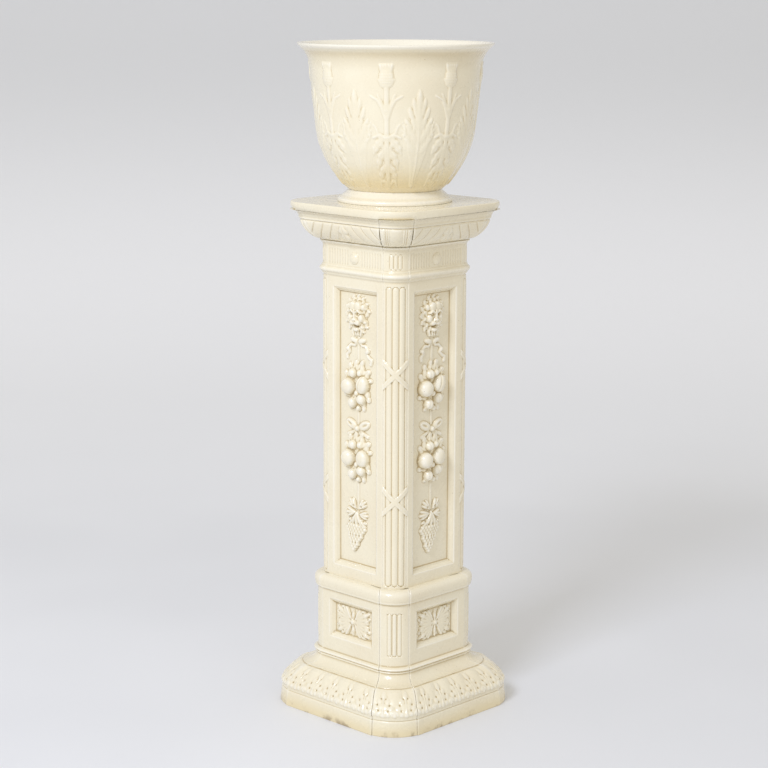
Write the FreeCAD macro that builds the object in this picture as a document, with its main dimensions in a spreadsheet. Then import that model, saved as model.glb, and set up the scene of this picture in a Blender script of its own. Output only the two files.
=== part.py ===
import FreeCAD, Part
import math
import os
import Sketcher
from FreeCAD import Placement, Rotation, Vector

# A glazed earthenware flower pot on a tall square column, which stands on a plinth.
# Millimetres, +Z up, origin on the floor in the middle of the plinth.
# The front face looks along -Y. Every storey has four faces and four rounded corners.

SIZES = {
    # column and table, heights of the mouldings and half-widths across the flats
    "table_top_height": 862.0, "slab_under_height": 848.5, "slab_half": 138.2,
    "slab_edge_round": 1.4, "cap_fillet_height": 839.3, "cap_fillet_half": 126.3,
    "ovolo_top_height": 833.5, "ovolo_half": 124.2, "ovolo_base_height": 800.5,
    "ovolo_foot_half": 100.5, "frieze_top_height": 789.5, "frieze_base_height": 759.5,
    "frieze_half": 94.4, "astragal_half": 99.2, "shaft_top_height": 739.0,
    "shaft_base_height": 230.0, "shaft_half": 93.2, "shaft_inner_half": 76.0,
    # plinth
    "cushion_half": 108.2, "die_top_height": 203.6, "die_base_height": 98.5,
    "die_half": 103.4, "bead_half": 110.2, "cavetto_top_height": 87.0,
    "cavetto_base_height": 71.0, "skirt_top_half": 125.5, "skirt_half": 154.3,
    "band_height": 26.0, "band_top_half": 155.7, "band_half": 158.0,
    "plinth_inner_half": 86.0, "lug_width": 60.0, "lug_thickness": 8.0,
    "lug_depth": 16.0, "lug_rise": 12.0, "lug_gap": 1.0,
    # plan of the storeys: where the seam crosses each face, and how far a corner bows out
    "column_seam_ratio": 0.684, "plinth_seam_ratio": 0.655,
    "column_bow_ratio": 0.31, "plinth_bow_ratio": 0.26, "foot_bow_ratio": 0.22,
    "corner_setback_ratio": 0.989,
    # sunk panels
    "panel_half_width": 50.0, "shaft_panel_base": 250.0, "shaft_panel_top": 724.0,
    "die_panel_base": 125.0, "die_panel_top": 190.5, "panel_step": 3.0,
    "panel_step_width": 4.0,
    # reeded corners and crossed ribbons
    "reed_span_degrees": 22.0, "reed_depth": 1.9, "reed_margin": 7.0,
    "upper_cross_height": 590.0, "lower_cross_height": 378.0,
    "ribbon_width": 7.0, "ribbon_relief": 1.4, "cross_rise": 46.0,
    # sprigs on the faces
    "boss_radius": 9.5, "boss_relief": 3.6, "boss_height": 774.0,
    "mask_height": 681.0, "mask_radius": 24.0, "mask_relief": 15.0,
    "upper_cluster_height": 562.0, "lower_cluster_height": 437.0,
    "bow_height": 493.0, "vine_height": 340.0, "grape_top_height": 322.0,
    "fruit_radius": 14.0, "grape_radius": 3.8, "cord_width": 4.0, "cord_relief": 2.0,
    "rosette_height": 157.7, "rosette_relief": 4.5, "rosette_reach": 38.0,
    # jardiniere
    "rim_height": 1120.0, "rim_radius": 160.9, "lip_under_height": 1114.5,
    "throat_height": 1088.0, "throat_radius": 141.0, "belly_height": 1003.0,
    "belly_radius": 132.6, "turn_height": 944.0, "turn_radius": 119.8,
    "low_height": 901.0, "low_radius": 95.5, "waist_height": 882.0, "waist_radius": 77.0,
    "pot_wall": 8.0, "foot_radius": 95.2, "foot_edge_height": 867.5, "foot_wall": 10.0,
    "relief_height": 2.2, "stem_base_height": 893.0, "stem_top_height": 1050.0,
    "thistle_height": 1071.0, "thistle_radius": 11.0, "stem_width": 5.0,
    "leaf_tip_height": 1049.0, "leaf_base_height": 897.0, "leaf_half_width": 24.0,
}
FACES = ("front", "right", "back", "left")
CORNERS = ("front_right", "back_right", "back_left", "front_left")
SPRIGS_ON_POT = 8

doc = FreeCAD.newDocument("jardiniere_on_stand")
sheet = doc.addObject("Spreadsheet::Sheet", "Dimensions")
for row, (alias, value) in enumerate(SIZES.items(), start=1):
    sheet.set("A%d" % row, alias)
    sheet.set("B%d" % row, str(value))
    sheet.setAlias("B%d" % row, alias)
doc.recompute()

pieces = []


def size(alias):
    return float(sheet.get(alias))


def cell(alias):
    return "Dimensions." + alias


def quarter_turn(index):
    return Placement(Vector(0, 0, 0), Rotation(Vector(0, 0, 1), 90 * index))


def add_piece(label, shape, index=0):
    """A piece whose shape was worked out from the sheet, turned to its side of the stand."""
    piece = doc.addObject("Part::Feature", label)
    piece.Label = label
    piece.Shape = shape
    piece.Placement = quarter_turn(index)
    pieces.append(piece)
    return piece


# ---------------------------------------------------------------- moulded outlines

def straight(levels, height, half):
    levels.append((height, half))


def curved(levels, height, half, level_first, fullness=1.0, steps=5):
    """Carry an outline through a quarter curve that starts level or starts upright."""
    z0, h0 = levels[-1]
    for step in range(1, steps + 1):
        share = step / steps
        rise, turn = math.sin(share * math.pi / 2), math.cos(share * math.pi / 2)
        if level_first:
            z, h = height + (z0 - height) * turn, h0 + (half - h0) * rise
        else:
            z, h = z0 + (height - z0) * rise, half + (h0 - half) * turn
        chord_z, chord_h = z0 + (height - z0) * share, h0 + (half - h0) * share
        levels.append((fullness * z + (1 - fullness) * chord_z,
                       fullness * h + (1 - fullness) * chord_h))


def beaded(levels, height, half, swell, steps=6):
    """Carry an outline through a half-round bead that swells past the line."""
    z0, h0 = levels[-1]
    for step in range(1, steps + 1):
        share = (1 - math.cos(math.pi * step / steps)) / 2
        swing = math.sin(math.pi * step / steps)
        levels.append((z0 + (height - z0) * share, h0 + (half - h0) * share + swell * swing))


def cap_outline():
    """Small round, fillet, ovolo, neck, frieze and astragal, from the table down."""
    frieze, shaft = size("frieze_half"), size("shaft_half")
    levels = [(size("slab_under_height"), size("slab_half") - 1.0)]
    curved(levels, size("cap_fillet_height") + 0.3, size("cap_fillet_half") + 0.9, False)
    straight(levels, size("cap_fillet_height"), size("cap_fillet_half"))
    straight(levels, size("ovolo_top_height") + 0.5, size("cap_fillet_half"))
    straight(levels, size("ovolo_top_height"), size("ovolo_half"))
    curved(levels, size("ovolo_base_height"), size("ovolo_foot_half"), False, 0.6, 7)
    straight(levels, size("ovolo_base_height") - 0.5, size("ovolo_foot_half") - 1.8)
    straight(levels, size("ovolo_base_height") - 3.5, size("ovolo_foot_half") - 1.8)
    curved(levels, size("frieze_top_height"), frieze, True)
    straight(levels, size("frieze_base_height"), frieze)
    straight(levels, size("frieze_base_height") - 0.4, frieze + 1.3)
    straight(levels, size("frieze_base_height") - 3.0, frieze + 1.3)
    swell = size("astragal_half") - frieze - 1.3
    beaded(levels, size("shaft_top_height") + 7.0, frieze + 1.3, swell)
    straight(levels, size("shaft_top_height") + 4.5, frieze + 1.0)
    curved(levels, size("shaft_top_height"), shaft, True, 1.0, 3)
    return levels


def cap_inner(height):
    """Inside of the capital: upright behind the frieze, widening under the table."""
    neck = size("frieze_top_height") + 6.0
    spread = (size("ovolo_half") - size("shaft_inner_half") - 1.0)
    rise = size("slab_under_height") - neck
    return size("shaft_inner_half") + spread * max(0.0, height - neck) / rise


def plinth_outline():
    """Cushion shoulder, die, two beads and the cavetto, from the open joint down."""
    die, top = size("die_half"), size("shaft_base_height")
    levels = [(top, size("shaft_half") + 5.8)]
    curved(levels, top - 12.5, size("cushion_half"), True, 0.9)
    straight(levels, size("die_top_height") + 7.6, size("cushion_half") - 0.8)
    straight(levels, size("die_top_height") + 7.2, size("cushion_half") - 1.7)
    straight(levels, size("die_top_height") + 6.8, size("cushion_half") - 1.2)
    straight(levels, size("die_top_height") + 3.2, size("cushion_half") - 1.6)
    curved(levels, size("die_top_height"), die, True, 1.0, 3)
    straight(levels, size("die_base_height"), die)
    straight(levels, size("die_base_height") - 0.4, die + 1.8)
    straight(levels, size("die_base_height") - 1.1, die + 1.8)
    beaded(levels, size("cavetto_top_height") + 4.6, die + 2.6,
           size("bead_half") - die - 2.6)
    beaded(levels, size("cavetto_top_height") + 0.6, die + 2.4, 2.0, 4)
    straight(levels, size("cavetto_top_height"), die + 2.4)
    curved(levels, size("cavetto_base_height") + 0.3, size("skirt_top_half") - 1.5, False, 0.7)
    straight(levels, size("cavetto_base_height"), size("skirt_top_half"))
    return levels


def plinth_inner(height):
    """Inside of the plinth: a ledge under the column, then an even wall."""
    ledge = size("shaft_inner_half") - size("lug_gap")
    die_wall = size("plinth_inner_half")
    shoulder = size("shaft_base_height") - 15.0
    spread = size("skirt_top_half") - 12.0 - die_wall
    if height >= shoulder:
        return ledge
    if height >= size("die_top_height"):
        share = (shoulder - height) / (shoulder - size("die_top_height"))
        return ledge + (die_wall - ledge) * share
    drop = max(0.0, size("cavetto_top_height") - height)
    return die_wall + spread * drop / (size("cavetto_top_height") - size("cavetto_base_height"))


def foot_outline():
    """Sloping leaf skirt that turns down to an upright base band."""
    levels = [(size("cavetto_base_height"), size("skirt_top_half"))]
    curved(levels, size("band_height") + 1.5, size("skirt_half"), True, 0.55, 8)
    straight(levels, size("band_height") + 0.4, size("skirt_half"))
    straight(levels, size("band_height"), size("band_top_half") - 0.8)
    straight(levels, size("band_height") - 1.0, size("band_top_half"))
    straight(levels, 0.0, size("band_half"))
    return levels


def foot_inner(height):
    """Inside of the foot: an even wall behind the skirt, then upright to the floor."""
    top, wall = size("skirt_top_half") - 12.0, 12.0
    share = (size("cavetto_base_height") - height) / size("cavetto_base_height")
    return top + (size("band_half") - wall - top) * math.sin(share * math.pi / 2)


# ---------------------------------------------------------------- pieces of a storey

def face_section(height, half, inner, seam):
    """Trapezium across one face, cut off at both seams. The front face is built."""
    outline = [Vector(-seam * half, -half, height), Vector(seam * half, -half, height),
               Vector(seam * inner, -inner, height), Vector(-seam * inner, -inner, height)]
    return Part.makePolygon(outline + outline[:1])


def corner_arc(height, half, seam, bow):
    """Bowed outer line of one corner, set back a little behind the arris beside it."""
    near, far = seam * half, half
    middle = (near + far) / 2 + bow * (far - near) / math.sqrt(2)
    return Part.Arc(Vector(near, -far, height), Vector(middle, -middle, height),
                    Vector(far, -near, height))


def corner_section(height, half, inner, seam, bow):
    outer = corner_arc(height, half * size("corner_setback_ratio"), seam, bow)
    lining = corner_arc(height, inner, seam, bow)
    ends = [Part.LineSegment(outer.EndPoint, lining.EndPoint),
            Part.LineSegment(lining.StartPoint, outer.StartPoint)]
    edges = [outer.toShape(), ends[0].toShape(), lining.toShape(), ends[1].toShape()]
    return Part.Wire(Part.__sortEdges__(edges))


def moulded_face(levels, inner, seam):
    return Part.makeLoft([face_section(z, h, inner(z), seam) for z, h in levels], True, True)


def moulded_corner(levels, inner, seam, bow_at):
    sections = [corner_section(z, h, inner(z), seam, bow_at(z)) for z, h in levels]
    return Part.makeLoft(sections, True, True)


def sunk_panel(shape, half, base, top):
    """Sink a panel in three narrow steps into the front of a face."""
    for step in range(3):
        margin = step * size("panel_step_width")
        depth = (step + 1) * size("panel_step")
        width = size("panel_half_width") - margin
        recess = Part.makeBox(2 * width, depth + 1, top - base - 2 * margin,
                              Vector(-width, -half - 1, base + margin))
        shape = shape.cut(recess)
    return shape


def reeded_corner(base, top, half, inner, seam, bow):
    """Upright corner strip whose middle carries three convex reeds in a sunk channel."""
    plain = moulded_corner([(top, half), (base, half)], lambda z: inner, seam, lambda z: bow)
    rim = corner_arc(base, half * size("corner_setback_ratio"), seam, bow)
    crown = rim.value((rim.FirstParameter + rim.LastParameter) / 2)
    circle = Part.Circle(rim.StartPoint, crown, rim.EndPoint)
    axis, radius = circle.Center, circle.Radius
    span = math.radians(size("reed_span_degrees"))
    low, high = base + size("reed_margin"), top - size("reed_margin")
    deep = radius - size("reed_depth")
    channel = Part.makeCylinder(radius + 3, high - low, Vector(axis.x, axis.y, low),
                                Vector(0, 0, 1), math.degrees(3 * span))
    channel = channel.cut(Part.makeCylinder(deep, high - low, Vector(axis.x, axis.y, low)))
    channel.rotate(axis, Vector(0, 0, 1), -45 - math.degrees(1.5 * span))
    strip = plain.cut(channel)
    reed_radius = radius * math.sin(span / 2)
    for turn in (-1, 0, 1):
        angle = -math.pi / 4 + turn * span
        reach = radius - reed_radius
        foot = Vector(axis.x + reach * math.cos(angle), axis.y + reach * math.sin(angle), low)
        reed = Part.makeCylinder(reed_radius, high - low, foot)
        strip = strip.fuse(reed)
    return strip.removeSplitter()


def crossed_ribbons(height, half, seam, bow):
    """Two flat ribbons that cross on the corner strip and stop short of both its seams."""
    rim = corner_arc(height, half * size("corner_setback_ratio"), seam, bow)
    crown = rim.value((rim.FirstParameter + rim.LastParameter) / 2)
    circle = Part.Circle(rim.StartPoint, crown, rim.EndPoint)
    rise = size("cross_rise")
    across = rim.StartPoint.distanceToPoint(rim.EndPoint) / 2
    base = Vector(circle.Center.x, circle.Center.y, height - rise / 2)
    sweep = 4 * size("reed_span_degrees")
    shell = Part.makeCylinder(circle.Radius + size("ribbon_relief"), rise, base,
                              Vector(0, 0, 1), sweep)
    shell = shell.cut(Part.makeCylinder(circle.Radius - 0.6, rise, base))
    shell.rotate(base, Vector(0, 0, 1), -45 - sweep / 2)
    cross = None
    for lean in (-1, 1):
        length = 2 * math.hypot(across, rise / 2)
        band = Part.makeBox(length, 60.0, size("ribbon_width"),
                            Vector(-length / 2, 0, -size("ribbon_width") / 2))
        tilt = Rotation(Vector(0, 1, 0), lean * math.degrees(math.atan2(0.36 * rise, across)))
        face_out = Rotation(Vector(0, 0, 1), 225)
        band.Placement = Placement(base + Vector(0, 0, rise / 2), face_out * tilt)
        cross = band if cross is None else cross.fuse(band)
    return shell.common(cross)


# ---------------------------------------------------------------- column

def plan_outline(height, half, seam, bow):
    """Whole plan of the stand at one height: four flats and four set-back bowed corners."""
    edges = []
    for index in range(4):
        turn = Rotation(Vector(0, 0, 1), 90 * index)
        flat = (turn.multVec(Vector(-seam * half, -half, height)),
                turn.multVec(Vector(seam * half, -half, height)))
        rim = corner_arc(height, half * size("corner_setback_ratio"), seam, bow)
        first, last = turn.multVec(rim.StartPoint), turn.multVec(rim.EndPoint)
        crown = turn.multVec(rim.value((rim.FirstParameter + rim.LastParameter) / 2))
        arris = turn.multVec(Vector(half, -seam * half, height))
        edges += [Part.LineSegment(*flat), Part.LineSegment(flat[1], first),
                  Part.Arc(first, crown, last), Part.LineSegment(last, arris)]
    return edges


def make_table_slab():
    body = doc.addObject("PartDesign::Body", "table_slab")
    body.Label = "table_slab"
    outline = body.newObject("Sketcher::SketchObject", "table_slab_plan")
    outline.AttachmentSupport = [(origin_plane(body, "XY_Plane"), "")]
    outline.MapMode = "FlatFace"
    outline.setExpression("AttachmentOffset.Base.z", cell("slab_under_height"))
    for edge in plan_outline(0.0, size("slab_half"), size("column_seam_ratio"),
                             size("column_bow_ratio") * 0.7):
        outline.addGeometry(edge, False)
    pad = body.newObject("PartDesign::Pad", "table_slab_pad")
    pad.Profile = outline
    pad.setExpression("Length", "%s - %s" % (cell("table_top_height"),
                                             cell("slab_under_height")))
    doc.recompute()
    top_edges = ["Edge%d" % (i + 1) for i, edge in enumerate(pad.Shape.Edges)
                 if edge.BoundBox.ZMin > size("table_top_height") - 0.01]
    soften = body.newObject("PartDesign::Chamfer", "table_slab_edge")
    soften.Base = (pad, top_edges)
    soften.setExpression("Size", cell("slab_edge_round"))
    pieces.append(body)


def origin_plane(body, role):
    return next(item for item in body.Origin.OriginFeatures if item.Role == role)


def make_shaft_face(name, index):
    """Slab of clay with a seam down each side and a sunk panel in its face."""
    label = "shaft_face_" + name
    body = doc.addObject("PartDesign::Body", label)
    body.Label = label
    plan = body.newObject("Sketcher::SketchObject", label + "_plan")
    plan.AttachmentSupport = [(origin_plane(body, "XY_Plane"), "")]
    plan.MapMode = "FlatFace"
    plan.setExpression("AttachmentOffset.Base.z", cell("shaft_base_height"))
    half, inner, seam = size("shaft_half"), size("shaft_inner_half"), size("column_seam_ratio")
    points = [Vector(-seam * half, -half), Vector(seam * half, -half),
              Vector(seam * inner, -inner), Vector(-seam * inner, -inner)]
    draw_closed(plan, points)
    bind_trapezium(plan)
    slab = body.newObject("PartDesign::Pad", label + "_slab")
    slab.Profile = plan
    slab.setExpression("Length", "%s - %s" % (cell("shaft_top_height"),
                                              cell("shaft_base_height")))
    doc.recompute()
    for step in range(3):
        sink_step(body, label, step)
    body.Placement = quarter_turn(index)
    pieces.append(body)


def draw_closed(sketch, points):
    count = len(points)
    for start, end in zip(points, points[1:] + points[:1]):
        sketch.addGeometry(Part.LineSegment(start, end), False)
    for line in range(count):
        sketch.addConstraint(Sketcher.Constraint("Coincident", line, 2, (line + 1) % count, 1))


def bind_trapezium(sketch):
    """Outer and inner edges stay level, and their distances follow the sheet."""
    sketch.addConstraint(Sketcher.Constraint("Horizontal", 0))
    sketch.addConstraint(Sketcher.Constraint("Horizontal", 2))
    bound = ((0, 1, "DistanceY", -size("shaft_half"), "-" + cell("shaft_half")),
             (2, 1, "DistanceY", -size("shaft_inner_half"), "-" + cell("shaft_inner_half")))
    for line, end, kind, value, rule in bound:
        item = sketch.addConstraint(Sketcher.Constraint(kind, -1, 1, line, end, value))
        sketch.setExpression("Constraints[%d]" % item, rule)
    product = cell("column_seam_ratio") + " * "
    for line, end, sign, alias in ((0, 1, "-", "shaft_half"), (0, 2, "", "shaft_half"),
                                   (2, 1, "", "shaft_inner_half"), (2, 2, "-", "shaft_inner_half")):
        value = float(sign + "1") * size("column_seam_ratio") * size(alias)
        item = sketch.addConstraint(Sketcher.Constraint("DistanceX", -1, 1, line, end, value))
        sketch.setExpression("Constraints[%d]" % item, sign + product + cell(alias))


def sink_step(body, label, step):
    """One of the three steps that lead down to the panel's field."""
    margin = step * size("panel_step_width")
    width = size("panel_half_width") - margin
    low, high = size("shaft_panel_base") + margin, size("shaft_panel_top") - margin
    frame = body.newObject("Sketcher::SketchObject", "%s_frame_%d" % (label, step))
    frame.AttachmentSupport = [(origin_plane(body, "XZ_Plane"), "")]
    frame.MapMode = "FlatFace"
    frame.setExpression("AttachmentOffset.Base.z", cell("shaft_half"))
    draw_closed(frame, [Vector(-width, low), Vector(width, low),
                        Vector(width, high), Vector(-width, high)])
    before = body.Shape.Volume
    pocket = body.newObject("PartDesign::Pocket", "%s_sink_%d" % (label, step))
    pocket.Profile = frame
    pocket.setExpression("Length", "%d * %s" % (step + 1, cell("panel_step")))
    doc.recompute()
    if body.Shape.Volume > before - 1:
        raise RuntimeError("the panel of %s was not sunk" % label)


def make_column():
    seam, bow = size("column_seam_ratio"), size("column_bow_ratio")
    base, top = size("shaft_base_height"), size("shaft_top_height")
    make_table_slab()
    cap_face = moulded_face(cap_outline(), cap_inner, seam)
    cap_corner = moulded_corner(cap_outline(), cap_inner, seam, lambda z: bow * 0.9)
    strip = reeded_corner(base, top, size("shaft_half"), size("shaft_inner_half"), seam, bow)
    for alias in ("upper_cross_height", "lower_cross_height"):
        strip = strip.fuse(crossed_ribbons(size(alias), size("shaft_half"), seam, bow))
    for index, name in enumerate(FACES):
        add_piece("cap_face_" + name, cap_face, index)
        make_shaft_face(name, index)
        make_boss(name, index)
        add_piece("lion_mask_" + name, lion_mask(), index)
        add_piece("fruit_drop_" + name, fruit_drop(), index)
    for index, name in enumerate(CORNERS):
        add_piece("cap_corner_" + name, cap_corner, index)
        add_piece("shaft_corner_" + name, strip, index)


# ---------------------------------------------------------------- sprigs on the faces

def shaft_field():
    return size("shaft_half") - 3 * size("panel_step")


def dome(x, height, ground, radius, lift=0.0):
    """Rounded fruit on a ground this far from the axis, its middle lifted clear of it."""
    low = -math.degrees(math.asin(min(1.0, (lift + 0.5) / radius)))
    return Part.makeSphere(radius, Vector(x, -ground - lift, height),
                           Vector(0, -1, 0), low, 90, 360)


def flat_sprig(points, ground, relief):
    """Flat sprig of the given outline, pressed on a ground this far from the axis."""
    outline = [Vector(x, -ground, z) for x, z in points]
    return Part.Face(Part.makePolygon(outline + outline[:1])).extrude(Vector(0, -relief, 0))


def make_boss(name, index):
    """Round button in the middle of the frieze."""
    boss = doc.addObject("Part::Cone", "frieze_boss_" + name)
    boss.Label = "frieze_boss_" + name
    boss.setExpression("Radius1", cell("boss_radius"))
    boss.setExpression("Radius2", cell("boss_radius") + " * 0.6")
    boss.setExpression("Height", cell("boss_relief"))
    seat = Placement(Vector(0, -size("frieze_half"), size("boss_height")),
                     Rotation(Vector(1, 0, 0), 90))
    boss.Placement = quarter_turn(index).multiply(seat)
    pieces.append(boss)


def mane_outline():
    """Pointed locks that stand out round the face, longer above than below."""
    radius, height = size("mask_radius"), size("mask_height")
    points = []
    for step in range(32):
        angle = 2 * math.pi * step / 32
        reach = radius * (1.13 if step % 2 else 0.98)
        points.append((reach * math.cos(angle), height + 1.26 * reach * math.sin(angle)))
    return points


def lion_mask():
    """Mane of pointed locks, a domed face on it, and brows, eyes, muzzle and open mouth."""
    field, radius, height = shaft_field(), size("mask_radius"), size("mask_height")
    relief = size("mask_relief")
    mane = flat_sprig(mane_outline(), field, relief * 0.32)
    ground = field + relief * 0.32
    face = Part.makeCone(radius * 0.86, radius * 0.52, relief * 0.42,
                         Vector(0, -ground, height), Vector(0, -1, 0))
    muzzle = Part.makeCone(radius * 0.36, radius * 0.26, relief * 0.26,
                           Vector(0, -ground - relief * 0.42, height - radius * 0.14),
                           Vector(0, -1, 0))
    mouth = Part.makeBox(radius * 0.24, relief * 0.4, radius * 0.12,
                         Vector(-radius * 0.12, -field - relief, height - radius * 0.34))
    mask = mane.fuse([face, muzzle])
    for side in (-1, 1):
        brow = Part.makeBox(radius * 0.18, relief * 0.1, radius * 0.1,
                            Vector(side * radius * 0.27 - radius * 0.09,
                                   -ground - relief * 0.52, height + radius * 0.3))
        mask = mask.fuse(brow)
    return mask.cut(mouth).removeSplitter()


def drop_outline():
    """Leafy ground of the drop: wide behind each cluster, bow and vine, narrow between."""
    upper, lower = size("upper_cluster_height"), size("lower_cluster_height")
    bow, vine, grapes = size("bow_height"), size("vine_height"), size("grape_top_height")
    cord = size("cord_width") / 2
    right = [(cord, upper + 80), (24, upper + 68), (26, upper + 58), (cord, upper + 52)]
    for height in (upper, lower):
        right += [(14, height + 42), (26, height + 22), (36, height + 14), (38, height - 8),
                  (30, height - 14), (17, height - 38), (cord, height - 46)]
        if height == upper:
            right += [(26, bow + 12), (27, bow + 3), (cord, bow - 8)]
    right += [(22, vine + 18), (28, vine - 4), (23, grapes + 2), (22, grapes - 9),
              (cord, grapes - 42)]
    return right + [(-x, z) for x, z in reversed(right)]


def fruit_cluster(height, ground):
    """Two large fruits side by side, smaller ones above, and a tail of them below."""
    fruit = size("fruit_radius")
    places = [(-17.5, 0, 1.0), (15, 1, 0.92), (-7, 23, 0.5), (10, 24, 0.42),
              (-11, -23, 0.5), (6, -21, 0.45), (-1, -33, 0.32)]
    return [dome(x, height + z, ground, fruit * share, fruit * share * 0.35)
            for x, z, share in places]


def grape_bunch(ground):
    """Rows of round grapes, each row one grape shorter, down to a single one."""
    grape = size("grape_radius")
    spacing = 2 * grape + 0.4
    berries = []
    for row in range(5):
        for place in range(5 - row):
            x = (place - (4 - row) / 2) * spacing
            height = size("grape_top_height") - grape - row * spacing * 0.87
            berries.append(dome(x, height, ground, grape))
    return berries


def fruit_drop():
    """The whole hanging drop under the mask, as one sprig with its cord and leaves."""
    relief = size("cord_relief")
    ground = shaft_field() + relief
    parts = fruit_cluster(size("upper_cluster_height"), ground)
    parts += fruit_cluster(size("lower_cluster_height"), ground)
    parts += grape_bunch(ground)
    for side in (-1, 1):
        for height, radius in ((size("bow_height"), 5.0), (size("vine_height") + 2, 6.5)):
            parts.append(dome(side * 11, height, ground, radius))
    parts.append(dome(0, size("bow_height"), ground, 3.6))
    return flat_sprig(drop_outline(), shaft_field(), relief).fuse(parts)


def rosette():
    """Four lobed leaves set crosswise to the corners of the die's panel, round a button."""
    field, reach = size("die_half") - 3 * size("panel_step"), size("rosette_reach")
    relief, z0 = size("rosette_relief"), size("rosette_height")
    shape = Part.makeCylinder(6.0, relief + 1.2, Vector(0, -field, z0), Vector(0, -1, 0))
    for side in (-1, 1):
        for rise in (-1, 1):
            tip = Vector(side * reach, -field, z0 + rise * reach * 0.62)
            lobes = [Part.makeCylinder(7.5 - 1.6 * abs(step - 1), relief,
                                       Vector(side * (10 + 11 * step), -field,
                                              z0 + rise * (6.5 + 6 * step)), Vector(0, -1, 0))
                     for step in range(3)]
            spine = Part.makePolygon([Vector(0, -field, z0 - 2), Vector(0, -field, z0 + 2),
                                      tip, Vector(0, -field, z0 - 2)])
            blade = Part.Face(spine).extrude(Vector(0, -relief, 0))
            shape = shape.fuse(lobes + [blade])
    return shape.removeSplitter()


# ---------------------------------------------------------------- plinth

def make_lug(name, index):
    """Block luted inside the plinth that keeps the column in its place."""
    lug = doc.addObject("Part::Box", "locating_lug_" + name)
    lug.Label = "locating_lug_" + name
    lug.setExpression("Length", cell("lug_width"))
    lug.setExpression("Width", cell("lug_thickness"))
    lug.setExpression("Height", "%s + %s" % (cell("lug_depth"), cell("lug_rise")))
    wall = size("shaft_inner_half") - size("lug_gap")
    seat = Placement(Vector(-size("lug_width") / 2, -wall,
                            size("shaft_base_height") - size("lug_depth")), Rotation())
    lug.Placement = quarter_turn(index).multiply(seat)
    pieces.append(lug)


def plinth_bow(height):
    """Bow of the plinth's corners: less in the spreading foot, and easing in the cavetto."""
    base, top = size("cavetto_base_height"), size("cavetto_top_height")
    share = min(max((height - base) / (top - base), 0.0), 1.0)
    return size("foot_bow_ratio") + share * (size("plinth_bow_ratio") - size("foot_bow_ratio"))


def make_plinth():
    seam = size("plinth_seam_ratio")
    face = moulded_face(plinth_outline(), plinth_inner, seam)
    face = sunk_panel(face, size("die_half"), size("die_panel_base"), size("die_panel_top"))
    corner = moulded_corner(plinth_outline(), plinth_inner, seam, plinth_bow)
    foot_face = moulded_face(foot_outline(), foot_inner, seam)
    foot_corner = moulded_corner(foot_outline(), foot_inner, seam, plinth_bow)
    for index, name in enumerate(FACES):
        add_piece("plinth_face_" + name, face, index)
        add_piece("foot_face_" + name, foot_face, index)
        add_piece("leaf_rosette_" + name, rosette(), index)
        make_lug(name, index)
    for index, name in enumerate(CORNERS):
        add_piece("plinth_corner_" + name, corner, index)
        add_piece("foot_corner_" + name, foot_corner, index)


# ---------------------------------------------------------------- jardiniere

def bowl_points(grow=0.0):
    """Outer line of the bowl from the waist to the lip, pushed out by grow."""
    points = [("waist", 0.0), ("low", 0.55), ("turn", 0.85), ("belly", 1.0), ("throat", 1.0)]
    line = [Vector(size(key + "_radius") + grow, size(key + "_height") - grow * (1 - flat), 0)
            for key, flat in points]
    neck = Vector(size("throat_radius") + 8.0 + grow, size("lip_under_height") - 7.0, 0)
    lip = Vector(size("rim_radius") - 3.5 + grow, size("lip_under_height"), 0)
    return line + [neck, lip]


def bowl_line(points):
    curve = Part.BSplineCurve()
    curve.interpolate(points)
    return curve


def make_bowl():
    """Round-bottomed bowl with a thin lip that flares at the rim, turned about the axis."""
    body = doc.addObject("PartDesign::Body", "pot_bowl")
    body.Label = "pot_bowl"
    half_section = body.newObject("Sketcher::SketchObject", "pot_bowl_half_section")
    half_section.AttachmentSupport = [(origin_plane(body, "XZ_Plane"), "")]
    half_section.MapMode = "FlatFace"
    outer = bowl_points()
    wall, rim, floor = size("pot_wall"), size("rim_radius"), size("waist_height")
    inner = [Vector(p.x - wall, p.y, 0) for p in outer[1:]]
    inner[0] = Vector(inner[0].x - 4, inner[0].y + 3, 0)
    inner[-1] = Vector(rim - 9.0, size("rim_height"), 0)
    start = Vector(0, floor, 0)
    floor_edge = Vector(outer[0].x - 8, floor + wall, 0)
    lip_top = Vector(rim - 1.2, size("rim_height"), 0)
    lip_edge = Vector(rim, size("rim_height") - 2.2, 0)
    chain = [Part.LineSegment(start, outer[0]), bowl_line(outer),
             Part.LineSegment(outer[-1], lip_edge), Part.LineSegment(lip_edge, lip_top),
             Part.LineSegment(lip_top, inner[-1]), bowl_line(inner[::-1] + [floor_edge]),
             Part.LineSegment(floor_edge, Vector(0, floor + wall, 0)),
             Part.LineSegment(Vector(0, floor + wall, 0), start)]
    for edge in chain:
        half_section.addGeometry(edge, False)
    turned = body.newObject("PartDesign::Revolution", "pot_bowl_turned")
    turned.Profile = half_section
    turned.ReferenceAxis = (half_section, ["V_Axis"])
    turned.Angle = 360
    pieces.append(body)


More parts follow.
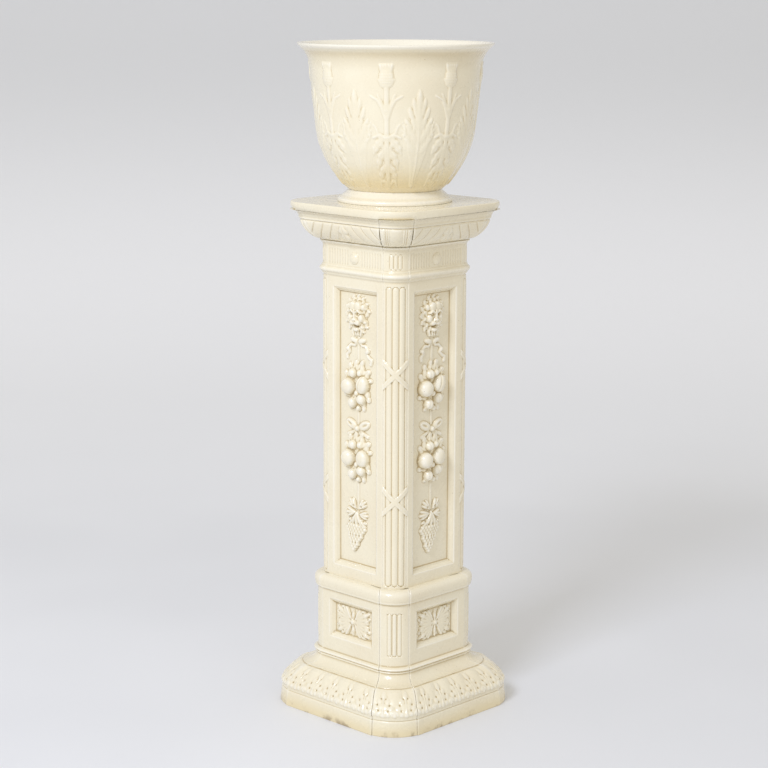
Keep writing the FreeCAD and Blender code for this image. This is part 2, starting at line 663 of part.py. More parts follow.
def make_foot_ring():
    """Flared foot ring, hollow underneath, that the bowl is luted to."""
    body = doc.addObject("PartDesign::Body", "pot_foot_ring")
    body.Label = "pot_foot_ring"
    half_section = body.newObject("Sketcher::SketchObject", "pot_foot_half_section")
    half_section.AttachmentSupport = [(origin_plane(body, "XZ_Plane"), "")]
    half_section.MapMode = "FlatFace"
    top, base, edge = size("waist_height"), size("table_top_height"), size("foot_edge_height")
    waist, foot, wall = size("waist_radius"), size("foot_radius"), size("foot_wall")
    outer_top, outer_mid = Vector(waist, top, 0), Vector(waist + 12.5, edge + 3.8, 0)
    outer_edge, outer_base = Vector(foot, edge, 0), Vector(foot, base, 0)
    inner_base, inner_top = Vector(foot - wall, base, 0), Vector(waist - wall, top, 0)
    chain = [Part.Arc(outer_top, outer_mid, outer_edge), Part.LineSegment(outer_edge, outer_base),
             Part.LineSegment(outer_base, inner_base), Part.LineSegment(inner_base, inner_top),
             Part.LineSegment(inner_top, outer_top)]
    for piece in chain:
        half_section.addGeometry(piece, False)
    turned = body.newObject("PartDesign::Revolution", "pot_foot_turned")
    turned.Profile = half_section
    turned.ReferenceAxis = (half_section, ["V_Axis"])
    turned.Angle = 360
    pieces.append(body)


def relief_shell():
    """Thin skin over the outside of the bowl, as thick as the relief stands out."""
    inside, outside = bowl_points(), bowl_points(size("relief_height"))
    edges = [bowl_line(inside).toShape(), bowl_line(outside).toShape(),
             Part.LineSegment(inside[0], outside[0]).toShape(),
             Part.LineSegment(inside[-1], outside[-1]).toShape()]
    section = Part.Face(Part.Wire(Part.__sortEdges__(edges)))
    section.rotate(Vector(0, 0, 0), Vector(1, 0, 0), 90)
    return section.revolve(Vector(0, 0, 0), Vector(0, 0, 1), 360)


def cut_out(points, skin):
    """The part of the skin that lies in front of a flat outline, on the front of the bowl."""
    outline = [Vector(x, -60, z) for x, z in points]
    face = Part.Face(Part.makePolygon(outline + outline[:1]))
    return skin.common(face.extrude(Vector(0, -140, 0)))


def thistle_outline():
    """Stem with two arching side leaves and a crowned bud."""
    half, base, top = size("stem_width") / 2, size("stem_base_height"), size("stem_top_height")
    bud, radius = size("thistle_height"), size("thistle_radius")
    knot = base + 0.44 * (top - base)
    right = [(half, base), (half, knot), (17, knot + 32), (19, knot + 40), (10, knot + 27),
             (half, knot + 12), (half, top), (radius, top + 4), (radius * 0.72, bud),
             (radius, bud + 14)]
    left = [(-x, z) for x, z in reversed(right)]
    return right + left


def acanthus_outline():
    """Tall leaf with four pairs of pointed lobes and a pointed tip."""
    base, tip = size("leaf_base_height"), size("leaf_tip_height")
    widest, rows = size("leaf_half_width"), 5
    right = [(4, base)]
    for lobe in range(rows):
        share = (lobe + 1) / (rows + 0.6)
        reach = widest * (0.62 + 0.75 * share) * (1 - share * share)
        height = base + (tip - base) * share
        right += [(reach, height + 7), (reach * 0.5 + 1.2, height + 6)]
    right.append((1.2, tip))
    left = [(-x, z) for x, z in reversed(right)]
    return right + left


def round_the_pot(shape, start):
    copies = []
    for index in range(SPRIGS_ON_POT):
        copy = shape.copy()
        copy.rotate(Vector(0, 0, 0), Vector(0, 0, 1), start + 360 / SPRIGS_ON_POT * index)
        copies.append(copy)
    return Part.makeCompound(copies)


def make_jardiniere():
    make_bowl()
    make_foot_ring()
    skin = relief_shell()
    add_piece("thistle_stems", round_the_pot(cut_out(thistle_outline(), skin), -7))
    add_piece("acanthus_leaves", round_the_pot(cut_out(acanthus_outline(), skin), 15.5))


# ---------------------------------------------------------------- build, check and write

def check_document():
    doc.recompute()
    for item in doc.Objects:
        if "Invalid" in item.State or "Error" in item.State:
            raise RuntimeError("%s failed: %s" % (item.Label, item.State))
    for piece in pieces:
        if piece.Shape.isNull() or not piece.Shape.isValid():
            raise RuntimeError("%s has no valid shape" % piece.Label)
        if not piece.Shape.Solids:
            raise RuntimeError("%s is not solid" % piece.Label)


def write_pieces():
    os.makedirs("parts", exist_ok=True)
    for piece in pieces:
        piece.Shape.exportStep("parts/%s.step" % piece.Label)
        print("%-26s solids %d  volume %.0f" % (piece.Label, len(piece.Shape.Solids),
                                                piece.Shape.Volume))


make_jardiniere()
make_column()
make_plinth()
check_document()
write_pieces()
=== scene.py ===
import bmesh
import bpy
import math
import numpy as np
from mathutils import Matrix, Vector


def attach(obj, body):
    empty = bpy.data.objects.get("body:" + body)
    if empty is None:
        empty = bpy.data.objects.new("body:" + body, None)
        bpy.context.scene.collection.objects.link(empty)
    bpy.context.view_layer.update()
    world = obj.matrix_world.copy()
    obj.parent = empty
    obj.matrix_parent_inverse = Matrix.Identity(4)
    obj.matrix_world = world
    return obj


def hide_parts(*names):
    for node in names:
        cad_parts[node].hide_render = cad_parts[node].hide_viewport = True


# A cream-glazed earthenware jardiniere on its tall square stand: a plinth, a column and a
# pot, each pressed from clay in plaster moulds, luted together, fired and glazed.
# Metres, +Z up. Sizes in the text are millimetres. The front face looks along -Y.

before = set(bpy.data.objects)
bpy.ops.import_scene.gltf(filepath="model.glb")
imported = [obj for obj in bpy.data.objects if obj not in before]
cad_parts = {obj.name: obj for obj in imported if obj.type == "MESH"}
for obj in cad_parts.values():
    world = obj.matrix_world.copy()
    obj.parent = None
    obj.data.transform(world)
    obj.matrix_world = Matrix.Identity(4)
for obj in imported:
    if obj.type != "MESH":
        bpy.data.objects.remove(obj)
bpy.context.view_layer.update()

# ------------------------------------------------------------------ the spreading foot
# Four flats and four bowed corners of pressed clay that make the sloping leaf skirt and
# the upright base band. Each was pressed in a plaster mould and luted at upright seams,
# and the thick glaze has rounded every edge and gathered in the hollows.

SIDES = ("front", "right", "back", "left")
CORNERS = ("front_right", "back_right", "back_left", "front_left")


def soften(values, reach, axis):
    """Smooth a surface along one axis with its ends held, as thick glaze rounds an edge."""
    half = max(1, int(reach * 3))
    weights = np.exp(-0.5 * (np.arange(-half, half + 1) / reach) ** 2)
    weights /= weights.sum()
    pads = [(half, half) if index == axis else (0, 0) for index in range(values.ndim)]
    padded = np.pad(values, pads, mode="reflect", reflect_type="odd")
    total = np.zeros_like(values)
    for step, weight in enumerate(weights):
        total += weight * np.take(padded, range(step, step + values.shape[axis]), axis)
    return total


def glazed_over(relief, reach):
    """A relief as the glaze leaves it, with its edges rounded both ways."""
    return soften(soften(relief, reach, 0), reach, 1)


def moulding(points, spacing=1.0, rounding=0.7):
    """Outline of (height, half-width, bulge) from the top down, evenly stepped and softened."""
    line = [points[0][:2]]
    for (z0, h0, _), (z1, h1, bulge) in zip(points, points[1:]):
        steps = 16 if bulge else 1
        for step in range(1, steps + 1):
            share = step / steps
            swell = bulge * 4 * share * (1 - share) / math.hypot(z1 - z0, h1 - h0)
            line.append((z0 + (z1 - z0) * share + swell * (h1 - h0),
                         h0 + (h1 - h0) * share - swell * (z1 - z0)))
    line = np.array(line)
    run = np.concatenate([[0.0], np.cumsum(np.hypot(*np.diff(line, axis=0).T))])
    even = np.linspace(0, run[-1], int(run[-1] / spacing) + 1)
    line = np.stack([np.interp(even, run, line[:, 0]), np.interp(even, run, line[:, 1])], 1)
    return soften(line, rounding / spacing, 0)


def outward(line):
    """Direction that faces away from the clay at each step of an outline."""
    slope = np.gradient(line, axis=0)
    slope /= np.linalg.norm(slope, axis=1, keepdims=True)
    return slope[:, 1:2], -slope[:, 0:1]


def worn_arris(across, edge, depth=1.0, width=1.2):
    """How far the rounded edge beside a seam falls back."""
    past = np.clip((np.abs(across) - (edge - width)) / width, 0, 1)
    return depth * (1 - np.sqrt(1 - past ** 2))


def flat_side(line, seam, columns, relief):
    """Pressed front of a flat, seen from outside: rows down the moulding, columns across."""
    up, out = outward(line)
    run = np.concatenate([[0.0], np.cumsum(np.hypot(*np.diff(line, axis=0).T))])[:, None]
    edge = seam * line[:, 1:2]
    across = edge * columns[None, :]
    lift = relief(columns[None, :] + 0 * run, across, run + 0 * across, line[:, :1] + 0 * across)
    lift = lift - worn_arris(across, edge)
    return np.stack([across, -(line[:, 1:2] + out * lift), line[:, :1] + up * lift], -1)


def bowed_corner(line, seam, bow, columns, relief, setback=0.989):
    """Pressed front of a bowed corner strip, set back a little behind the arris beside it."""
    up, out = outward(line)
    run = np.concatenate([[0.0], np.cumsum(np.hypot(*np.diff(line, axis=0).T))])[:, None]
    far = setback * line[:, 1:2]
    near = seam * far
    chord, rise = (far - near) / math.sqrt(2), bow * (far - near)
    swing = 2 * np.arctan(rise / chord)
    radius = chord / np.sin(swing)
    angle = swing * columns[None, :]
    across = radius * angle
    lift = relief(columns[None, :] + 0 * run, across, run + 0 * across, line[:, :1] + 0 * across)
    lift = lift - worn_arris(across, radius * swing, 1.3, 1.0)
    reach = radius + out * lift
    deep = (near + far) / math.sqrt(2) + rise - radius + reach * np.cos(angle)
    side = reach * np.sin(angle)
    root = math.sqrt(2)
    return np.stack([(deep + side) / root, (side - deep) / root, line[:, :1] + up * lift], -1)


def pooling(points, reach=2.6):
    """How far each place lies below what is round it: the glaze gathers thickest there."""
    outside = np.cross(np.gradient(points, axis=0), np.gradient(points, axis=1))
    outside /= np.linalg.norm(outside, axis=2, keepdims=True) + 1e-9
    round_it = glazed_over(points, reach)
    return ((round_it - points) * outside).sum(-1)


def quarter_turns(points, count):
    """The same shape on another side of the stand."""
    x, y, z = points[..., 0], points[..., 1], points[..., 2]
    for _ in range(count):
        x, y = -y, x
    return np.stack([x, y, z], -1)


def fired(name, shape, body, nodes, finish):
    """Gives a shaped piece its glaze, and the body it belongs to."""
    bmesh.ops.recalc_face_normals(shape, faces=shape.faces)
    mesh = bpy.data.meshes.new(name)
    shape.to_mesh(mesh)
    shape.free()
    mesh.polygons.foreach_set("use_smooth", [True] * len(mesh.polygons))
    mesh.set_sharp_from_angle(angle=math.radians(50))
    mesh.materials.append(finish)
    piece = bpy.data.objects.new(name, mesh)
    bpy.context.scene.collection.objects.link(piece)
    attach(piece, body)
    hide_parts(*nodes)


def sheet_of_clay(columns, rows, left=0):
    """Flat sheet with one vertex for each place of a relief, rows from the top down."""
    shape = bmesh.new()
    shape.verts.layers.float.new("pooling")
    bmesh.ops.create_grid(shape, x_segments=columns - 1, y_segments=rows - 1, size=1.0)
    bmesh.ops.scale(shape, vec=((columns - 1) / 2, (rows - 1) / 2, 1), verts=shape.verts)
    bmesh.ops.translate(shape, vec=((columns - 1) / 2 + left, (rows - 1) / 2, 0),
                        verts=shape.verts)
    return shape


def pressed_wall(name, front, back, body, nodes, finish):
    """Closed wall of clay: its pressed front, two straight seam sides and a plain back."""
    rows, columns = front.shape[:2]
    shape = sheet_of_clay(columns, rows, 1)
    back_lines = []
    for side, limit in ((-1, 1.5), (1, columns - 0.5)):
        seam_edges = [edge for edge in shape.edges
                      if all(side * (vert.co.x - limit) > 0 for vert in edge.verts)]
        drawn = bmesh.ops.extrude_edge_only(shape, edges=seam_edges)["geom"]
        verts = {item for item in drawn if isinstance(item, bmesh.types.BMVert)}
        bmesh.ops.translate(shape, vec=(side, 0, 0), verts=list(verts))
        back_lines += [item for item in drawn if isinstance(item, bmesh.types.BMEdge)
                       and verts.issuperset(item.verts)]
    bmesh.ops.bridge_loops(shape, edges=back_lines)
    ends = [edge for edge in shape.edges if edge.is_boundary]
    bmesh.ops.holes_fill(shape, edges=ends, sides=0)
    whole = np.concatenate([back[:, :1], front, back[:, 1:]], axis=1) * 0.001
    glaze_depth = np.pad(pooling(front), ((0, 0), (1, 1)))
    layer = shape.verts.layers.float["pooling"]
    for vert in shape.verts:
        row, column = round(vert.co.y), round(vert.co.x)
        vert[layer] = glaze_depth[row, column]
        vert.co = whole[row, column]
    fired(name, shape, body, nodes, finish)


def walls_round(name, node, places, front, back, body, finish):
    """The same pressed wall on every side or corner of the stand."""
    for turn, place in enumerate(places):
        pressed_wall(name + place, quarter_turns(front, turn), quarter_turns(back, turn),
                     body, [node + place], finish)


def back_of_flat(line, seam, inner):
    """Plain inner side of a flat, as far from the axis as inner says for each height."""
    inside = inner(line[:, 0])
    left = np.stack([-seam * inside, -inside, line[:, 0]], -1)
    right = np.stack([seam * inside, -inside, line[:, 0]], -1)
    return np.stack([left, right], 1)


def back_of_corner(line, seam, inner):
    """Plain inner side of a corner strip."""
    inside = inner(line[:, 0])
    left = np.stack([seam * inside, -inside, line[:, 0]], -1)
    right = np.stack([inside, -seam * inside, line[:, 0]], -1)
    return np.stack([left, right], 1)


def lump(across, up, at, reach, rise, lean=0.0, base=0.0):
    """Rounded boss: full height in the middle, down to its base at the rim."""
    cos, sin = math.cos(math.radians(lean)), math.sin(math.radians(lean))
    x, z = across - at[0], up - at[1]
    far = ((x * cos + z * sin) / reach[0]) ** 2 + ((z * cos - x * sin) / reach[1]) ** 2
    return np.where(far < 1, base + rise * np.sqrt(np.clip(1 - far, 0, 1)), 0.0)


def strand(across, up, path, width, rise, channel=0.0):
    """Rounded strip along a path, tapering from its first width to its last."""
    lengths = [math.dist(a, b) for a, b in zip(path, path[1:])]
    total, run = sum(lengths), 0.0
    height = np.zeros_like(across)
    for (ax, az), (bx, bz), length in zip(path, path[1:], lengths):
        along = ((across - ax) * (bx - ax) + (up - az) * (bz - az)) / length ** 2
        along = np.clip(along, 0, 1)
        off = np.hypot(across - ax - along * (bx - ax), up - az - along * (bz - az))
        share = (run + along * length) / total
        half = width[0] + (width[1] - width[0]) * share
        round_top = np.sqrt(np.clip(1 - (off / half) ** 2, 0, 1))
        dip = channel * np.exp(-(off / (0.45 * half)) ** 2) * (round_top > 0)
        height = np.maximum(height, rise * round_top - dip)
        run += length
    return height


def spread_leaf(across, up, base, tip, fan, rise, lobes=5, rib=0.8, ground=0.0):
    """Leaf opened like a hand: rounded lobes with a ridge out to each and grooves between."""
    dx, dz = tip[0] - base[0], tip[1] - base[1]
    length = math.hypot(dx, dz)
    x, z = across - base[0], up - base[1]
    along, side = (x * dx + z * dz) / length, (z * dx - x * dz) / length
    reach, turn = np.hypot(along, side), np.arctan2(side, along) / math.radians(fan)
    lobe = np.abs(np.cos(math.pi * lobes * turn / 2))
    round_off = np.cos(np.clip(turn, -1, 1) * 1.2) ** 0.35
    share = reach / (length * (0.72 + 0.28 * lobe ** 0.6) * round_off)
    crown = np.sqrt(np.clip(1 - share ** 3, 0, 1)) * (0.55 + 0.45 * np.clip(share * 2, 0, 1))
    height = ground + rise * crown + rib * (lobe - 0.55) * np.clip(share * 1.6, 0, 1)
    return np.where((share < 1) & (np.abs(turn) < 1), np.maximum(height, 0.05), 0.0)


def highest(*reliefs):
    """Reliefs laid into one another: the highest shows."""
    return np.maximum.reduce(reliefs)


def to_linear(code):
    """Glaze colours are written as sRGB hex, as they look in daylight."""
    parts = [int(code[index:index + 2], 16) / 255 for index in (0, 2, 4)]
    return [p / 12.92 if p <= 0.04045 else ((p + 0.055) / 1.055) ** 2.4 for p in parts] + [1.0]


def add_node(tree, kind, settings=(), inputs=()):
    """Adds one shader node with its settings. Each input gets a value or what feeds it."""
    node = tree.nodes.new(kind)
    for key, value in settings:
        setattr(node, key, value)
    for key, value in inputs:
        if isinstance(value, bpy.types.NodeSocket):
            tree.links.new(value, node.inputs[key])
        else:
            node.inputs[key].default_value = value
    return node


RANGE = ("Value", "From Min", "From Max", "To Min", "To Max")
SMOOTH = [("interpolation_type", "SMOOTHSTEP")]


def layered(tree, colour, layers):
    """Lays tints over a colour. Each tint is as strong as its causes make it: a cause is what
    it follows, the two ends of its range and the strength at each, and two causes multiply."""
    for tint, *causes in layers:
        strength = 1.0
        for cause in causes:
            ranged = add_node(tree, "ShaderNodeMapRange", SMOOTH, zip(RANGE, cause))
            strength = add_node(tree, "ShaderNodeMath", [("operation", "MULTIPLY")],
                                [(0, strength), (1, ranged.outputs["Result"])]).outputs[0]
        colour = add_node(tree, "ShaderNodeMix", [("data_type", "RGBA")],
                          [(0, strength), (6, colour), (7, to_linear(tint))]).outputs[2]
    return colour


def per_metre(width):
    """Scale of a pattern whose features are so many millimetres wide."""
    return 1000 / width


def new_finish(name, *mottles):
    """Empty material, the place on a piece that its patterns follow, and its mottles: each
    has a width in millimetres and how far it breaks up into finer ones."""
    material = bpy.data.materials.new(name)
    material.use_nodes = True
    tree = material.node_tree
    tree.nodes.clear()
    where = add_node(tree, "ShaderNodeTexCoord").outputs["Object"]
    fields = [add_node(tree, "ShaderNodeTexNoise", [],
                       [("Vector", where), ("Scale", per_metre(width)), ("Detail", detail)])
              for width, detail in mottles]
    return material, tree, where, [field.outputs["Fac"] for field in fields]


CREAM, DEEP_CREAM, IVORY, STRAW, DUST = "F1E8CE", "EEE3C7", "FAF6EA", "CDB682", "806038"
HONEY, FLOOR_DIRT, CRACK, IRON_SPECK = "E2CE98", "8C7450", "A98A58", "7B5B36"


def cream_glaze(name, gathers_low=None, soil=0.35):
    """Thick lead-type glaze, dipped: ivory where it drew thin over the arrises, deeper and
    yellower where it pooled, with brown dust in the deepest cuts and a faint crackle."""
    material, tree, where, (cloud, fine, peel) = new_finish(
        name, (111.0, 4.0), (16.67, 5.0), (4.76, 2.0))
    depth = add_node(tree, "ShaderNodeAttribute", [("attribute_name", "pooling")]).outputs["Fac"]
    # the crackle's cells are drawn 8 mm wide, coarser than the real 3 mm, so that they show
    waver = add_node(tree, "ShaderNodeTexNoise", [], [("Vector", where),
                                                      ("Scale", per_metre(22.2))])
    bent = add_node(tree, "ShaderNodeVectorMath", [("operation", "MULTIPLY_ADD")],
                    [(0, waver.outputs["Color"]), (1, (0.004, 0.004, 0.004)), (2, where)])
    cells = add_node(tree, "ShaderNodeTexVoronoi", [("feature", "DISTANCE_TO_EDGE")],
                     [("Vector", bent.outputs[0]), ("Scale", per_metre(7.69))])
    specks = add_node(tree, "ShaderNodeTexVoronoi", [], [("Vector", where),
                                                         ("Scale", per_metre(23.81))])
    layers = [(DEEP_CREAM, (cloud, 0.35, 0.68, 0.0, 1.0)),
              (IVORY, (depth, -0.08, -0.9, 0.0, 0.55)),
              (STRAW, (depth, 0.05, 0.9, 0.0, 0.8)),
              (DUST, (depth, 0.3, 1.2, 0.0, soil), (fine, 0.35, 0.7, 0.35, 1.0))]
    if gathers_low:
        height = add_node(tree, "ShaderNodeSeparateXYZ", [], [("Vector", where)]).outputs["Z"]
        layers += [(HONEY, (height, gathers_low[1], gathers_low[0], 0.0, 0.6)),
                   (FLOOR_DIRT, (height, 0.013, 0.0, 0.0, 0.7), (fine, 0.46, 0.66, 0.0, 1.0))]
    layers += [(CRACK, (cells.outputs["Distance"], 0.02, 0.0, 0.0, 0.025),
                (cloud, 0.48, 0.7, 0.0, 1.0)),
               (IRON_SPECK, (specks.outputs["Distance"], 0.034, 0.016, 0.0, 0.6))]
    colour = layered(tree, to_linear(CREAM), layers)
    rough = add_node(tree, "ShaderNodeMapRange", SMOOTH, zip(RANGE, (fine, 0.3, 0.75, 0.2, 0.38)))
    bump = add_node(tree, "ShaderNodeBump", [], [("Height", peel), ("Strength", 0.16),
                                                 ("Distance", 0.0006)])
    waves = add_node(tree, "ShaderNodeBump", [], [("Height", cloud), ("Strength", 0.2),
                                                  ("Distance", 0.0012),
                                                  ("Normal", bump.outputs["Normal"])])
    shader = add_node(tree, "ShaderNodeBsdfPrincipled", [],
                      [("Base Color", colour), ("Roughness", rough.outputs["Result"]),
                       ("Normal", waves.outputs["Normal"]), ("IOR", 1.5), ("Coat Weight", 0.55),
                       ("Coat Roughness", 0.09)])
    add_node(tree, "ShaderNodeOutputMaterial", [], [("Surface", shader.outputs[0])])
    return material


glaze = cream_glaze("cream_glaze_dipped")
foot_glaze = cream_glaze("cream_glaze_soiled_at_the_foot", (0.0, 0.028), 0.6)
PLINTH_SEAM = 0.655
foot_line = moulding([(71, 125.5, 0), (69.6, 127.0, 0), (45.5, 150.2, 1.2), (35.0, 155.1, 1.0),
                      (27.4, 155.1, 0), (26.6, 153.5, 0), (26.0, 155.3, 0), (24.6, 155.7, 0),
                      (1.2, 157.9, 0), (0, 157.1, 0)])
# length of the carved skirt down its slope, and of one leaf with its tongue along the wall
SKIRT_RUN, LEAF_PITCH = 55.1, 39.6


def plinth_bow(line):
    """The corners bow out less in the spreading foot than in the upright die."""
    return np.interp(line[:, :1], [71.0, 87.0], [0.22, 0.26])


def leaf_skirt(repeats):
    """Smooth tongues that narrow downwards, lobed leaves between them with drilled eyes,
    and a row of small fans over the band."""
    def relief(share, across, run, height):
        place = ((share + 1) * repeats / 2 + 0.5) % 1.0 - 0.5
        away = np.abs(place * LEAF_PITCH)
        off = LEAF_PITCH / 2 - away
        half = np.interp(run, [1, 4, 10, 18, 27, 34, 39], [12, 16.6, 17.4, 15.4, 11.4, 7.8, 4])
        swell = np.interp(run, [1.5, 5, 11, 20, 30, 38], [0, 2.3, 3.5, 3.0, 1.9, 0])
        tongue = swell * np.clip(1 - (away / half) ** 2, 0, 1) ** 0.75
        leaves = highest(lump(off, run, (0, 14), (5.4, 7.6), 1.5, 0, 1.1),
                         lump(off, run, (7.6, 24), (5.2, 6.6), 1.5, 24, 1.1),
                         lump(off, run, (4.2, 33), (5.8, 6.0), 1.6, 0, 1.1),
                         lump(off, run, (13.2, 35), (4.8, 5.6), 1.5, 30, 1.0),
                         strand(off, run, [(0, 16), (0, 44)], (0.9, 1.6), 3.2))
        fans = highest(lump(off, run, (0, 45.5), (4.6, 4.6), 1.4, 0, 0.9),
                       lump(off, run, (8.2, 44.5), (4.2, 4.4), 1.3, 0, 0.9),
                       spread_leaf(away, run, (0, 38), (0, 50.0), 60, 1.7, 3, 0.5, 0.9))
        ground = np.interp(run, [2, 7, 46, 51], [0, 1.3, 1.3, 0])
        total = highest(tongue, leaves, fans, ground)
        for at, wide in (((4.4, 20.0), 1.4), ((11.0, 30.4), 1.6), ((8.6, 39.4), 1.9)):
            total = total - lump(off, run, at, (wide, wide * 1.15), 1.7)
        total = total * np.clip((SKIRT_RUN - 2.6 - run) / 1.6, 0, 1)
        total = total - 1.1 * np.exp(-((run - 1.4) / 0.8) ** 2)
        return glazed_over(total, 0.6)
    return relief


FOOT_TOP, FOOT_TOP_INSIDE, FOOT_SPREAD = 71, 113.5, 30.0


def foot_inner(height):
    """The hollow of the foot widens downwards as the skirt does."""
    return FOOT_TOP_INSIDE + FOOT_SPREAD * np.sin((1 - height / FOOT_TOP) * math.pi / 2)


foot_flat = flat_side(foot_line, PLINTH_SEAM, np.linspace(-1, 1, 190), leaf_skirt(5))
foot_bow = bowed_corner(foot_line, PLINTH_SEAM, plinth_bow(foot_line), np.linspace(-1, 1, 76),
                        leaf_skirt(2))
walls_round("leaf_skirt_", "foot_face_", SIDES, foot_flat,
            back_of_flat(foot_line, PLINTH_SEAM, foot_inner), "plinth", foot_glaze)
walls_round("leaf_skirt_corner_", "foot_corner_", CORNERS, foot_bow,
            back_of_corner(foot_line, PLINTH_SEAM, foot_inner), "plinth", foot_glaze)

# ------------------------------------------------------------------ the die of the plinth
# The upright block over the skirt: a cavetto and two beads, a sunk panel on each flat,
# three short reeds on each corner, and a cushion shoulder that the column stands on.

die_line = moulding([(230, 99.0, 0), (217.5, 108.0, 3.2), (211.2, 107.4, 0), (210.8, 106.4, 0),
                     (210.3, 107.0, 0), (206.8, 106.6, 0), (203.6, 103.4, -0.9),
                     (98.5, 103.4, 0), (98.1, 105.2, 0), (97.4, 106.0, 0), (91.6, 106.0, 3.6),
                     (91.2, 105.8, 0), (87.6, 105.8, 1.9), (87.0, 105.8, 0),
                     (71.3, 124.0, -3.6), (71.0, 125.5, 0)])
# how far in from the frame's edge, and how deep the mould was cut there
FRAME_INSET = [-1, 0, 0.5, 1.2, 2.6, 4.2, 5.0, 5.3, 6.6, 6.9, 8.0, 40]
FRAME_DEPTH = [0, 0, 1.2, 1.6, 2.4, 4.4, 5.6, 6.4, 6.5, 8.4, 9.0, 9.0]


def graded(stops, steps):
    """Places from stop to stop, each stretch in its own number of steps."""
    parts = [np.linspace(a, b, n, endpoint=False) for a, b, n in zip(stops, stops[1:], steps)]
    return np.concatenate(parts + [np.array(stops[-1:])])


def sunk_panel(half_width, low, high):
    """Panel sunk behind a run of ovolo, fillet and step."""
    def relief(share, across, run, height):
        inset = np.minimum(half_width - np.abs(across), np.minimum(height - low, high - height))
        return -np.interp(inset, FRAME_INSET, FRAME_DEPTH)
    return relief


def reeds(low, high, half_reed, sunk=2.7):
    """Three convex reeds side by side, each with rounded ends, in sunk beds."""
    def relief(share, across, run, height):
        total = np.zeros_like(across)
        for place in (-1, 0, 1):
            past = np.maximum(0, np.maximum(low + half_reed - height, height - high + half_reed))
            off = np.hypot(across - place * 2 * half_reed, past) / half_reed
            bed = sunk * (1.16 * np.sqrt(np.clip(1 - off ** 2, 0, 1)) - 1)
            total = np.where(off < 1, bed, total)
        return soften(total, 0.5, 1)
    return relief


def die_inner(height):
    """Upright inside, drawn in under the shoulder and let out again over the foot."""
    ledge = np.interp(height, [203.6, 215.0], [86.0, 75.0])
    return ledge + 27.5 * np.clip((87 - height) / 16, 0, 1)


die_columns = graded([-1, -0.98, -0.76, -0.56, 0.56, 0.76, 0.98, 1], [3, 12, 16, 16, 16, 12, 3])
die_flat = flat_side(die_line, PLINTH_SEAM, die_columns, sunk_panel(50.5, 125, 190.5))
die_flat = glazed_over(die_flat, 0.5)
die_bow = bowed_corner(die_line, PLINTH_SEAM, plinth_bow(die_line), np.linspace(-1, 1, 60),
                       reeds(116, 191, 4.4))
walls_round("die_", "plinth_face_", SIDES, die_flat,
            back_of_flat(die_line, PLINTH_SEAM, die_inner), "plinth", glaze)
walls_round("die_corner_", "plinth_corner_", CORNERS, die_bow,
            back_of_corner(die_line, PLINTH_SEAM, die_inner), "plinth", glaze)

# ------------------------------------------------------------------ leaf sprig in each die
# Four broad lobed leaves set to the corners of the panel round a drilled button, pressed
# in a sprig mould and stuck on with slip before the glazing.


def leaf(across, up, base, tip, width, rise, lobes=4, bend=0.0, rib=0.5, ground=0.0):
    """Lobed leaf with veins that run forwards and a grooved midrib."""
    dx, dz = tip[0] - base[0], tip[1] - base[1]
    length = math.hypot(dx, dz)
    along = ((across - base[0]) * dx + (up - base[1]) * dz) / length ** 2
    side = ((up - base[1]) * dx - (across - base[0]) * dz) / length
    side = side - bend * 4 * along * (1 - along)
    swept = np.clip(along - 0.3 * np.abs(side) / length, 0, 1)
    body = np.sin(math.pi * swept ** 0.8) ** 0.7
    wave = np.abs(np.cos(math.pi * lobes * swept))
    half = width * body * (0.66 + 0.34 * wave) + 0.01
    share = np.abs(side) / half
    inside = (share < 1) & (along > 0) & (along < 1)
    crown = np.sqrt(np.clip(1 - share ** 2, 0, 1))
    veins = rib * (wave - 0.55) * np.clip(share * 1.7, 0, 1)
    midrib = rib * np.exp(-(side / (0.09 * width + 0.25)) ** 2)
    height = ground + rise * crown * (0.55 + 0.45 * body) + veins - midrib
    return np.where(inside, np.maximum(height, 0.05), 0.0)


THINNEST, LET_IN = 0.12, 0.7


def stuck_on(name, heights, across, up, place, body, nodes, finish, times_round=1):
    """Closed sprig: the part of a relief that stands up, with a flat back let into the clay."""
    rows, columns = heights.shape
    shape = sheet_of_clay(columns, rows)
    bare = []
    for face in shape.faces:
        middle = face.calc_center_median()
        row, column = int(middle.y), int(middle.x)
        if heights[row:row + 2, column:column + 2].max() < THINNEST:
            bare.append(face)
    bmesh.ops.delete(shape, geom=bare, context="FACES")
    raised = bmesh.ops.extrude_face_region(shape, geom=shape.faces[:], use_keep_orig=True)
    front_verts = [item for item in raised["geom"] if isinstance(item, bmesh.types.BMVert)]
    bmesh.ops.translate(shape, vec=(0, 0, 1), verts=front_verts)
    flat = 0 * heights
    front = place(across[None, :] + flat, up[:, None] + flat, heights)
    back = place(across[None, :] + flat, up[:, None] + flat, flat - LET_IN)
    glaze_depth = pooling(front)
    layer = shape.verts.layers.float["pooling"]
    for vert in shape.verts:
        row, column = round(vert.co.y), round(vert.co.x)
        is_front = vert.co.z > 0.5
        vert[layer] = glaze_depth[row, column] if is_front else 0.0
        vert.co = (front if is_front else back)[row, column] * 0.001
    if times_round > 1:
        bmesh.ops.spin(shape, geom=shape.verts[:] + shape.edges[:] + shape.faces[:],
                       cent=(0, 0, 0), axis=(0, 0, 1), use_duplicate=True,
                       angle=2 * math.pi * (times_round - 1) / times_round,
                       steps=times_round - 1)
    fired(name, shape, body, nodes, finish)


def on_panel(ground, turn):
    """Where a sprig lies on a flat field that is so far from the axis."""
    def place(across, up, lift):
        return quarter_turns(np.stack([across, -(ground + lift), up], -1), turn)
    return place


def sprigs_round(name, node, heights, across, up, ground, body):
    """The same sprig on each of the four sides."""
    for turn, side in enumerate(SIDES):
        stuck_on(name + side, heights, across, up, on_panel(ground, turn), body,
                 [node + side], glaze)


